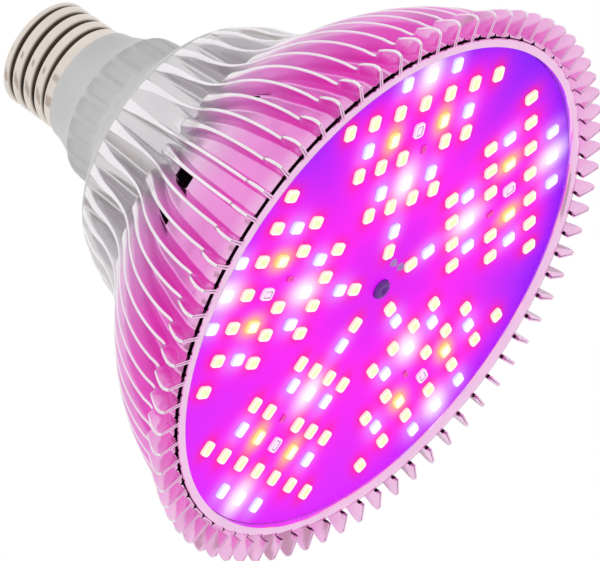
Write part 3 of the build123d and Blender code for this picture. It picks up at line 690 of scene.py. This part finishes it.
coating_finish, coating_surface = finish_with(
    "glowing_board_coating", Roughness=0.45, Base_Color=(0.02, 0.005, 0.02, 1), Specular_IOR_Level=0.08,
    Emission_Strength=1.0)
wire(coating_finish.node_tree,
     (points_in(coating_finish, "glow"), "Color", coating_surface, "Emission Color"))
fine_grit(coating_finish, coating_surface, 900.0, 0.2, 0.02)
coating = put_in_scene("board_coating", coating_mesh())
coating.data.materials.append(coating_finish)
give_wall(coating, COATING)
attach(coating, "root")
board_finish = rolled_finish("laminate_board_edge", 0.2, 0.03, metallic=0.0, Base=tint(225, 225, 220),
                             Grain_Scale=(400.0, 400.0, 4000.0), Marks_Scale=150.0, Darken=0.3,
                             Roughness_From=0.4, Roughness_To=0.6)
refinish("led_board", board_finish)

# Light sources: moulded packages 3.5 by 2.8 mm soldered flat on the board, each a white frame round a
# window of clear resin over the chips. Each colour is a group of its own and burns at its own tone.
LED_LENGTH = 3.5
LED_WIDTH = 2.8
LED_HEIGHT = 0.75
LED_CORNER = 0.75
WINDOW_MARGIN = 0.42
WINDOW_SINK = 0.1
FRAME_BEVEL = 0.12
LOOP_STEPS = 4
LEAST_CORNER = 0.05


def rounded_loop(half_length, half_width, corner, z):
    """Corner points of a rectangle with rounded corners, a few to a corner."""
    loop = []
    for quarter, (sx, sy) in enumerate(((1, 1), (-1, 1), (-1, -1), (1, -1))):
        for step in range(LOOP_STEPS):
            angle = math.radians(90 * quarter + 90 / (LOOP_STEPS - 1) * step)
            x = sx * (half_length - corner) + corner * math.cos(angle)
            y = sy * (half_width - corner) + corner * math.sin(angle)
            loop.append((x, y, z))
    return loop


def package_mesh(name, length, width, height, corner, levels):
    """Package that hangs from the board: loops from the board to the face, each with its glow zone.

    levels holds (inset, depth below the board, zone), and the zone is stored as the attribute zone.
    """
    loops = [rounded_loop(length / 2 - inset, width / 2 - inset, max(LEAST_CORNER, corner - inset), -depth)
             for inset, depth, zone in levels]
    count = len(loops[0])
    points = [point for loop in loops for point in loop]
    points += [(0.0, 0.0, 0.0), (0.0, 0.0, -levels[-1][1])]
    faces = []
    for number in range(len(loops) - 1):
        for step in range(count):
            a = number * count + step
            b = number * count + (step + 1) % count
            faces.append((a, a + count, b + count, b))
    last = (len(loops) - 1) * count
    for step in range(count):
        after = (step + 1) % count
        faces.append((step, after, len(points) - 2))
        faces.append((last + after, last + step, len(points) - 1))
    mesh = mesh_of(name, points, faces, smooth=False)
    values = [level[2] for level in levels for step in range(count)] + [levels[0][2], levels[-1][2]]
    mark_points(mesh, "zone", "FLOAT", values)
    return mesh


def glow_finish(name, stops):
    """Lit package; stops hold (zone, red, green, blue), from the foot of the frame (0) to the middle (1)."""
    material, surface = finish_with(name, Roughness=0.35, Base_Color=(0.05, 0.04, 0.05, 1),
                                    Emission_Strength=1.0)
    ramp = node_in(material.node_tree, "ShaderNodeValToRGB")
    while len(ramp.color_ramp.elements) < len(stops):
        ramp.color_ramp.elements.new(0.5)
    for element, (place, *tone) in zip(ramp.color_ramp.elements, stops):
        element.position = place
        element.color = tint(*tone)
    wire(material.node_tree, (points_in(material, "zone"), "Fac", ramp, "Fac"),
         (ramp, "Color", surface, "Emission Color"))
    fine_grit(material, surface, 2500.0, 0.15, 0.02)
    return material


LED_LEVELS = [(0.0, 0.0, 0.0), (0.0, 0.16, 0.12), (0.0, LED_HEIGHT - FRAME_BEVEL, 0.2),
              (FRAME_BEVEL, LED_HEIGHT, 0.4), (WINDOW_MARGIN, LED_HEIGHT, 0.6),
              (WINDOW_MARGIN + 0.1, LED_HEIGHT - WINDOW_SINK, 0.85), (1.0, LED_HEIGHT - WINDOW_SINK, 1.0)]
LED_TONES = {
    "red": [(0.0, 250, 20, 90), (0.12, 255, 222, 208), (0.4, 255, 252, 240), (0.6, 255, 255, 240),
            (0.85, 244, 252, 205), (1.0, 234, 247, 182)],
    "blue": [(0.0, 140, 80, 255), (0.12, 222, 205, 255), (0.4, 246, 244, 255), (0.6, 255, 255, 255),
             (1.0, 252, 255, 255)],
    "white": [(0.0, 250, 215, 255), (0.12, 255, 238, 255), (0.4, 255, 250, 255), (1.0, 255, 255, 255)],
    "warm": [(0.0, 255, 170, 90), (0.12, 255, 222, 130), (0.4, 255, 238, 165), (0.6, 255, 246, 200),
             (1.0, 255, 255, 240)],
    "infrared": [(0.0, 190, 0, 130), (0.12, 244, 190, 236), (0.4, 255, 238, 252), (0.6, 255, 242, 255),
                 (0.85, 176, 90, 178), (1.0, 250, 222, 250)],
}
for colour, stops in LED_TONES.items():
    source = package_mesh(colour + "_package", LED_LENGTH, LED_WIDTH, LED_HEIGHT, LED_CORNER, LED_LEVELS)
    lamps = set_out(colour + "_light_sources", [source], package_places(colour),
                    glow_finish("lit_" + colour + "_package", stops), 0.0)
    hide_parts(colour + "_leds")
    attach(lamps, "root")

# Resistor chips: ceramic chips with tinned ends, one beside the middle of each petal, reflow soldered.
# Their magenta glow is painted light, the board's light on them given as a glow of their own.
CHIP_LENGTH = 2.0
CHIP_WIDTH = 1.25
CHIP_HEIGHT = 0.5
CHIP_EDGE = 0.1
CHIP_LEVELS = [(0.0, 0.0, 0.0), (0.0, CHIP_HEIGHT - CHIP_EDGE, 0.3), (CHIP_EDGE, CHIP_HEIGHT, 0.5),
               (0.35, CHIP_HEIGHT, 1.0)]
chip_stops = [(0.0, 205, 0, 130), (0.3, 225, 10, 165), (0.5, 246, 60, 205), (1.0, 214, 0, 140)]
chip_source = package_mesh("resistor_chip", CHIP_LENGTH, CHIP_WIDTH, CHIP_HEIGHT, 0.12, CHIP_LEVELS)
chips = set_out("resistor_chips", [chip_source], package_places("resistor"),
                glow_finish("resistor_chip_in_the_glow", chip_stops), 0.0)
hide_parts("board_resistors")
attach(chips, "root")

# Lead pads and centre screw: two low domes of solder where the leads end, and the plated pan head
# screw in the middle that holds the board down on the carrier plate.
SCREW_HEAD_RADIUS = 2.4
SCREW_HEAD_HEIGHT = 0.95
SCREW_EDGE = 0.3
SCREW_SHANK_RADIUS = 1.5
SCREW_SHANK = 5.0
screw_profile = [(0.0, -0.55), (0.5, -0.55), (0.95, -SCREW_HEAD_HEIGHT), (1.7, -SCREW_HEAD_HEIGHT),
                 (2.2, -0.75), (SCREW_HEAD_RADIUS, -SCREW_EDGE), (SCREW_HEAD_RADIUS, 0.0),
                 (SCREW_SHANK_RADIUS, 0.0), (SCREW_SHANK_RADIUS, SCREW_SHANK), (0.0, SCREW_SHANK)]
screw_profile = [(radius, BOARD_FACE_Z + z) for radius, z in screw_profile]
# The screw's purple is painted light, the board's violet glow tinted into the plated steel.
screw_finish = rolled_finish("plated_screw_steel", 0.2, 0.05, Base=tint(118, 60, 160),
                             Grain_Scale=(900.0, 900.0, 900.0), Marks_Scale=400.0, Darken=0.4,
                             Roughness_From=0.3, Roughness_To=0.5)
piece_of("pan_head_screw", turned_mesh("pan_head_screw", screw_profile, 48, False), screw_finish,
         "centre_screw")
# The solder's lilac is painted light, the board's violet glow tinted into the metal.
solder_finish = rolled_finish("reflowed_solder", 0.3, 0.08, Base=tint(200, 150, 220),
                              Grain_Scale=(700.0, 700.0, 700.0), Marks_Scale=300.0, Darken=0.3,
                              Roughness_From=0.3, Roughness_To=0.55)
refinish("lead_pads", solder_finish)

# Neck housing: white moulded plastic in one piece, with a cone under the cap, a grip ring with 22
# shallow lengthwise recesses, and a bell that ends in the flange inside the collar of the fins.
NECK_RECESSES = 22
NECK_TURN = math.tau / NECK_RECESSES
RECESS_DEPTH = 0.55
RECESS_TOP_Z = 82.0
RECESS_FOOT_Z = 74.6
RECESS_SHARE = 0.58
RECESS_SIDE = 0.2
RECESS_COLUMNS = 20
GRIP_RADIUS = 18.2
GRIP_FOOT_Z = 74.0
GRIP_TOP_Z = 82.6
NECK_LINE = [(95.7, 12.6), (93.4, 12.7), (93.3, 13.6), (93.0, 13.9), (91.5, 14.2), (89.7, 14.7),
             (87.4, 15.6), (85.2, 16.5), (83.9, 17.2), (82.9, 18.0), (82.5, 18.3), (81.9, 18.45),
             (81.2, 18.5), (80.0, 18.55), (78.0, 18.6), (76.0, 18.7), (75.0, 18.75), (74.3, 18.8),
             (73.6, 18.95), (72.9, 19.4), (72.0, 20.3), (70.6, 22.2), (69.0, 24.5), (67.2, 27.0),
             (65.6, 29.1), (64.4, 30.4), (63.6, 31.1), (63.2, 31.3), (62.9, 31.3), (62.9, 30.8),
             (50.9, 30.8), (50.9, 29.0), (62.9, 29.0), (66.4, 25.2), (72.0, 17.0), (80.9, 16.4),
             (91.5, 10.9), (95.7, 10.9)]


def eased(value, start, end):
    """0 before start, 1 after end, and a soft step between."""
    share = min(1.0, max(0.0, (value - start) / (end - start)))
    return share * share * (3 - 2 * share)


def recess_at(aside, z):
    """How deep a recess is pressed in, from 0 to 1, by the distance from its middle and by height."""
    across = 1 - eased(aside, RECESS_SHARE, RECESS_SHARE + RECESS_SIDE)
    foot = eased(z, RECESS_FOOT_Z - 0.4, RECESS_FOOT_Z + 0.5)
    top = 1 - eased(z, RECESS_TOP_Z - 0.5, RECESS_TOP_Z + 0.4)
    return across * foot * top


def neck_sector():
    """One sector of the neck with its recess, from its outer top edge round to its inner top edge."""
    points = []
    for z, radius in NECK_LINE:
        gripped = radius > GRIP_RADIUS and GRIP_FOOT_Z < z < GRIP_TOP_Z
        for column in range(RECESS_COLUMNS + 1):
            share = column / RECESS_COLUMNS
            sunk = recess_at(abs(share - 0.5) * 2, z) if gripped else 0.0
            points.append(around(radius - RECESS_DEPTH * sunk, NECK_TURN * share, z))
    across = RECESS_COLUMNS + 1
    faces = []
    for row in range(len(NECK_LINE)):
        below = (row + 1) % len(NECK_LINE)
        for column in range(RECESS_COLUMNS):
            a = row * across + column
            b = below * across + column
            faces.append((a, b, b + 1, a + 1))
    return mesh_of("neck_sector", points, faces)


def moulded_skin_group():
    """Very fine orange-peel of moulded plastic and a faint unevenness of its tone."""
    tree, given, result = effect_group(
        "moulded_skin",
        [("Base", "Color", (0.8, 0.8, 0.8, 1)), ("Shade", "Color", (0.6, 0.6, 0.6, 1)),
         ("Peel Scale", "Float", 1500.0), ("Roughness From", "Float", 0.35), ("Roughness To", "Float", 0.5)],
        SKIN_OUTPUTS)
    where = node_in(tree, "ShaderNodeTexCoord")
    peel = node_in(tree, "ShaderNodeTexNoise")
    cloud = node_in(tree, "ShaderNodeTexNoise", Scale=40.0, Detail=5.0)
    spread = node_in(tree, "ShaderNodeMapRange", From_Min=0.4, From_Max=0.75)
    rough = node_in(tree, "ShaderNodeMapRange")
    mix = colour_mix(tree)
    wire(tree, (where, "Object", peel, "Vector"), (where, "Object", cloud, "Vector"),
         (given, "Peel Scale", peel, "Scale"), (cloud, "Fac", spread, "Value"),
         (spread, "Result", mix, "Factor"), (given, "Base", mix, "A"), (given, "Shade", mix, "B"),
         (spread, "Result", rough, "Value"), (given, "Roughness From", rough, "To Min"),
         (given, "Roughness To", rough, "To Max"), (mix, "Result", result, "Color"),
         (rough, "Result", result, "Roughness"), (peel, "Fac", result, "Height"))
    return tree


MOULDED_SKIN = moulded_skin_group()


def moulded_finish(name, base, shade, rough_from, rough_to, peel_scale=1500.0, **sockets):
    """Moulded plastic or glass with its fine skin, its two tones on a 0 to 255 scale."""
    material, surface = finish_with(name, **sockets)
    skin = place_group(material, MOULDED_SKIN, Base=tint(*base), Shade=tint(*shade), Peel_Scale=peel_scale,
                       Roughness_From=rough_from, Roughness_To=rough_to)
    lay_skin(material, surface, skin, 0.12, 0.03)
    return material


neck_places = [((0, 0, 0), NECK_TURN * number, 0) for number in range(NECK_RECESSES)]
neck_finish = moulded_finish("white_moulded_plastic", (210, 209, 209), (198, 197, 197), 0.3, 0.42)
neck = set_out("moulded_neck", [neck_sector()], neck_places, neck_finish, 0.005)
neck.data.set_sharp_from_angle(angle=TURNED_CREASE)
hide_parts("neck_housing")
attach(neck, "root")

# Screw shell: nickel plated brass, 0.35 mm thick, with a smooth band and a rolled round thread. It is
# pressed on the spigot of the neck, and its end is rolled over the glass insulator.
THREAD_PITCH = 3.63
THREAD_DEPTH = 0.95
THREAD_SHARPNESS = 2.6
THREAD_FOOT_Z = 96.0
FIRST_ROOT_Z = 96.9
FIRST_ROOT_SHARE = 0.75
THREAD_TOP_Z = 109.1
SHELL_TOP_Z = 110.19
SHELL_FOOT_Z = 93.3
SHELL_RADIUS = 13.15
SHELL_BAND_RADIUS = 13.2
SHELL_LIP_RADIUS = 9.6
SHELL_WALL = 0.35
SHELL_STEPS = 96
SHELL_ROW = 0.3
SHOULDER_STEPS = 8


def shell_radius(z, angle):
    """Radius of the rolled shell at a height and an angle."""
    place = (z - FIRST_ROOT_Z) / THREAD_PITCH - angle / math.tau + FIRST_ROOT_SHARE
    groove = ((1 + math.cos(math.tau * place)) / 2) ** THREAD_SHARPNESS
    depth = THREAD_DEPTH * eased(z, THREAD_FOOT_Z - 0.6, THREAD_FOOT_Z + 0.6)
    depth *= 1 - eased(z, THREAD_TOP_Z - 1.0, THREAD_TOP_Z - 0.1)
    band = SHELL_BAND_RADIUS + (SHELL_RADIUS - SHELL_BAND_RADIUS) * eased(z, THREAD_FOOT_Z, THREAD_FOOT_Z + 1)
    return band - depth * groove


def shell_mesh():
    """Outer face of the shell, from the neck up over its rounded shoulder to the lip."""
    rows = []
    count = round((THREAD_TOP_Z - SHELL_FOOT_Z) / SHELL_ROW)
    for row in range(count + 1):
        z = SHELL_FOOT_Z + (THREAD_TOP_Z - SHELL_FOOT_Z) * row / count
        rows.append([(shell_radius(z, math.tau * step / SHELL_STEPS), z) for step in range(SHELL_STEPS)])
    drop = SHELL_TOP_Z - THREAD_TOP_Z
    for step in range(1, SHOULDER_STEPS + 1):
        bend = math.pi / 2 * step / SHOULDER_STEPS
        radius = SHELL_RADIUS - (SHELL_RADIUS - SHELL_LIP_RADIUS) * (1 - math.cos(bend))
        rows.append([(radius, THREAD_TOP_Z + drop * math.sin(bend))] * SHELL_STEPS)
    points = [around(radius, math.tau * step / SHELL_STEPS, z)
              for row in rows for step, (radius, z) in enumerate(row)]
    faces = []
    for row in range(len(rows) - 1):
        for step in range(SHELL_STEPS):
            a = row * SHELL_STEPS + step
            b = row * SHELL_STEPS + (step + 1) % SHELL_STEPS
            faces.append((a, b, b + SHELL_STEPS, a + SHELL_STEPS))
    mesh = mesh_of("rolled_screw_shell", points, faces)
    depths = [max(0.0, (SHELL_RADIUS - radius) / THREAD_DEPTH) if z < THREAD_TOP_Z else 0.0
              for row in rows for radius, z in row]
    mark_points(mesh, "groove", "FLOAT", depths)
    return mesh


def groove_painted_shade(material):
    """Painted shade and dark reflection in the grooves of the bright nickel, as (node, output)."""
    share = node_in(material.node_tree, "ShaderNodeMapRange", From_Min=0.25, From_Max=0.75)
    groove_shade = colour_mix(material.node_tree, A=tint(236, 226, 217), B=tint(66, 54, 47))
    wire(material.node_tree, (points_in(material, "groove"), "Fac", share, "Value"),
         (share, "Result", groove_shade, "Factor"))
    return groove_shade, "Result"


# Bright nickel whose thread grooves are darkened with painted shade and reflection.
nickel_finish = rolled_finish("nickel_plated_brass", 0.08, 0.03, groove_painted_shade,
                              Grain_Scale=(80.0, 80.0, 2500.0), Marks_Scale=110.0, Darken=0.12,
                              Roughness_From=0.08, Roughness_To=0.2)
shell = piece_of("rolled_screw_shell", shell_mesh(), nickel_finish, "screw_shell")
give_wall(shell, SHELL_WALL)

# Tip insulator and centre contact: a pale glass button that closes the cap, with the brass contact in
# its middle. The insulator is held under the rolled lip, and the contact is soldered to the live lead.
TIP_FOOT_Z = SHELL_TOP_Z - 2.4
GLASS_TOP_Z = SHELL_TOP_Z + 1.9
BORE_RADIUS = 1.35
GLASS_RADIUS = 10.6
GLASS_NECK_RADIUS = 9.45
PIN_RADIUS = 1.2
CONTACT_RADIUS = 4.8
glass_profile = [(BORE_RADIUS, TIP_FOOT_Z), (GLASS_RADIUS, TIP_FOOT_Z), (GLASS_RADIUS, SHELL_TOP_Z - 1.05),
                 (GLASS_NECK_RADIUS, SHELL_TOP_Z - 0.5), (GLASS_NECK_RADIUS, SHELL_TOP_Z),
                 (9.1, SHELL_TOP_Z + 0.5), (8.2, SHELL_TOP_Z + 1.0), (7.0, SHELL_TOP_Z + 1.45),
                 (5.8, SHELL_TOP_Z + 1.75), (4.95, GLASS_TOP_Z), (BORE_RADIUS, GLASS_TOP_Z)]
glass_finish = moulded_finish("pale_glass", (222, 232, 222), (205, 218, 208), 0.12, 0.22, 700.0,
                              Coat_Weight=0.6)
piece_of("glass_tip_insulator", turned_mesh("glass_tip_insulator", glass_profile, 72, True), glass_finish,
         "tip_insulator")
contact_profile = [(0.0, TIP_FOOT_Z), (PIN_RADIUS, TIP_FOOT_Z), (PIN_RADIUS, GLASS_TOP_Z),
                   (CONTACT_RADIUS, GLASS_TOP_Z), (CONTACT_RADIUS, GLASS_TOP_Z + 0.28),
                   (4.6, GLASS_TOP_Z + 0.58), (4.1, GLASS_TOP_Z + 0.86), (3.2, GLASS_TOP_Z + 1.08),
                   (2.0, GLASS_TOP_Z + 1.18), (0.0, GLASS_TOP_Z + 1.2)]
contact_finish = rolled_finish("soldered_brass_contact", 0.2, 0.06, Base=tint(208, 190, 150),
                               Grain_Scale=(600.0, 600.0, 600.0), Marks_Scale=250.0, Darken=0.35,
                               Roughness_From=0.2, Roughness_To=0.4)
piece_of("brass_centre_contact", turned_mesh("brass_centre_contact", contact_profile, 60, False),
         contact_finish, "centre_contact")

# Driver inside the lamp: a plastic cup with the circuit board that feeds the light sources, its coils,
# capacitors and chips, and the insulated leads up to the cap and down to the lit board.
DRIVER_FINISHES = {
    "driver_tube": ("grey_tube_plastic", (96, 90, 97), (112, 105, 114), 0.45, 0.6, 900.0),
    "driver_board": ("green_laminate", (32, 92, 58), (46, 108, 70), 0.35, 0.5, 2200.0),
    "bulk_capacitor": ("capacitor_sleeve", (28, 34, 52), (44, 52, 74), 0.25, 0.4, 1200.0),
    "film_capacitor": ("film_capacitor_case", (150, 60, 40), (170, 78, 52), 0.3, 0.45, 1400.0),
    "transformer_core": ("sintered_ferrite", (44, 42, 44), (62, 60, 62), 0.6, 0.8, 700.0),
    "transformer_winding": ("winding_tape", (212, 176, 52), (226, 194, 82), 0.3, 0.45, 1600.0),
    "bridge_rectifier": ("rectifier_case", (24, 24, 26), (36, 36, 40), 0.4, 0.55, 1800.0),
    "driver_chip": ("driver_chip_case", (30, 30, 33), (42, 42, 46), 0.4, 0.55, 2000.0),
    "fusible_resistor": ("resistor_enamel", (120, 150, 132), (138, 168, 150), 0.3, 0.45, 1500.0),
    "input_leads": ("input_lead_insulation", (176, 34, 30), (196, 52, 46), 0.35, 0.5, 1300.0),
    "output_leads": ("output_lead_insulation", (214, 210, 200), (226, 222, 214), 0.35, 0.5, 1300.0),
}
for node, values in DRIVER_FINISHES.items():
    refinish(node, moulded_finish(*values))

# Studio: a plain pale floor at the height of the rim, a white surround, two soft lamps, cards that
# only reflections see, and the camera at the photograph's angle, which looks up at the lit face.
FLOOR_HALF = 4000.0
floor_corners = [(-FLOOR_HALF, -FLOOR_HALF, 0), (FLOOR_HALF, -FLOOR_HALF, 0), (FLOOR_HALF, FLOOR_HALF, 0),
                 (-FLOOR_HALF, FLOOR_HALF, 0)]
floor = put_in_scene("studio_floor", mesh_of("studio_floor", floor_corners, [(0, 1, 2, 3)], smooth=False))
floor_finish = bpy.data.materials.new("pale_floor_seen_from_above")
floor_finish.use_nodes = True
floor_tree = floor_finish.node_tree
floor_tree.nodes.remove(floor_tree.nodes["Principled BSDF"])
floor_paint = node_in(floor_tree, "ShaderNodeBsdfDiffuse", Color=(0.86, 0.86, 0.87, 1))
floor_clear = node_in(floor_tree, "ShaderNodeBsdfTransparent")
floor_mix = node_in(floor_tree, "ShaderNodeMixShader")
floor_ray = node_in(floor_tree, "ShaderNodeLightPath")
floor_side = node_in(floor_tree, "ShaderNodeNewGeometry")
floor_front = node_in(floor_tree, "ShaderNodeMath", operation="SUBTRACT", use_clamp=True)
wire(floor_tree, (floor_ray, "Is Camera Ray", floor_front, 0), (floor_side, "Backfacing", floor_front, 1),
     (floor_front, "Value", floor_mix, "Fac"), (floor_clear, "BSDF", floor_mix, 1),
     (floor_paint, "BSDF", floor_mix, 2),
     (floor_mix, "Shader", floor_tree.nodes["Material Output"], "Surface"))
floor.data.materials.append(floor_finish)

LIGHT_ON_THE_LAMP = 0.5
LIGHT_IN_MIRRORS = 0.4
world = bpy.data.worlds.new("white_surround")
bpy.context.scene.world = world
world.use_nodes = True
surround = set_up(world.node_tree.nodes["Background"], Color=(1, 1, 1, 1))
world_ray = node_in(world.node_tree, "ShaderNodeLightPath")
seen = node_in(world.node_tree, "ShaderNodeMath", operation="MAXIMUM")
level = node_in(world.node_tree, "ShaderNodeMapRange", To_Min=LIGHT_ON_THE_LAMP, To_Max=1.0)
mirrored = node_in(world.node_tree, "ShaderNodeMath", operation="MULTIPLY_ADD")
mirrored.inputs[1].default_value = LIGHT_IN_MIRRORS
wire(world.node_tree, (world_ray, "Is Camera Ray", seen, 0), (world_ray, "Is Transmission Ray", seen, 1),
     (seen, "Value", level, "Value"), (world_ray, "Is Glossy Ray", mirrored, 0),
     (level, "Result", mirrored, 2), (mirrored, "Value", surround, "Strength"))

LAMPS = {
    "key_softbox": ((-0.9, -0.9, 1.0), 0.9, 9.0),
    "fill_softbox": ((1.1, -0.8, 0.4), 1.0, 4.0),
}
LAMP_AIM = Vector((0.0, 0.0, 0.05))
for label, (place, size, power) in LAMPS.items():
    softbox = bpy.data.lights.new(label, "AREA")
    softbox.size = size
    softbox.energy = power
    lamp = put_in_scene(label, softbox)
    lamp.location = place
    lamp.rotation_euler = (LAMP_AIM - Vector(place)).to_track_quat("-Z", "Y").to_euler()
    lamp.visible_camera = False
    lamp.visible_glossy = False

DARK = (0.01, 0.01, 0.012, 1)
BEIGE = (0.98, 0.9, 0.85, 1)
CARDS = {
    "dark_card_behind": ((0.0, 0.8, 0.4), 0.22, 0.5, DARK),
    "beige_card_left": ((-0.75, -0.1, 0.2), 0.3, 0.9, BEIGE),
    "beige_card_front": ((-0.35, -0.6, 0.42), 0.14, 0.3, BEIGE),
}
for label, (place, width, height, tone) in CARDS.items():
    mesh = bpy.data.meshes.new(label)
    facing = (LAMP_AIM - Vector(place)).normalized()
    aside = facing.cross(Vector((0, 0, 1))).normalized()
    above = aside.cross(facing)
    corners = [Vector(place) + aside * sx * width / 2 + above * sz * height / 2
               for sx, sz in ((-1, -1), (1, -1), (1, 1), (-1, 1))]
    mesh.from_pydata(corners, [], [(0, 1, 2, 3)])
    mesh.materials.append(finish_with(label, Base_Color=tone, Roughness=1.0, Specular_IOR_Level=0.0)[0])
    card = put_in_scene(label, mesh)
    card.visible_camera = False
    card.visible_diffuse = False
    card.visible_shadow = False
    card.visible_transmission = False

CAMERA_PLACE = Vector((-8.644, -754.177, -411.649)) * MM
CAMERA_RIGHT = Vector((0.58052, 0.40463, -0.70659))
CAMERA_DOWN = Vector((-0.81425, 0.28848, -0.50377))
CAMERA_AHEAD = Vector((0.0, 0.86779, 0.49694))
camera_data = bpy.data.cameras.new("photo_camera")
camera_data.lens = 240.0
camera_data.sensor_width = 36.0
camera_data.sensor_fit = "HORIZONTAL"
camera_data.clip_start = 0.01
camera_data.clip_end = 50.0
camera = put_in_scene("photo_camera", camera_data)
turned_to = Matrix((CAMERA_RIGHT, -CAMERA_DOWN, -CAMERA_AHEAD)).transposed()
camera.matrix_world = Matrix.Translation(CAMERA_PLACE) @ turned_to.to_4x4()
bpy.context.scene.camera = camera
bpy.context.scene.view_settings.view_transform = "Standard"

bpy.context.view_layer.update()
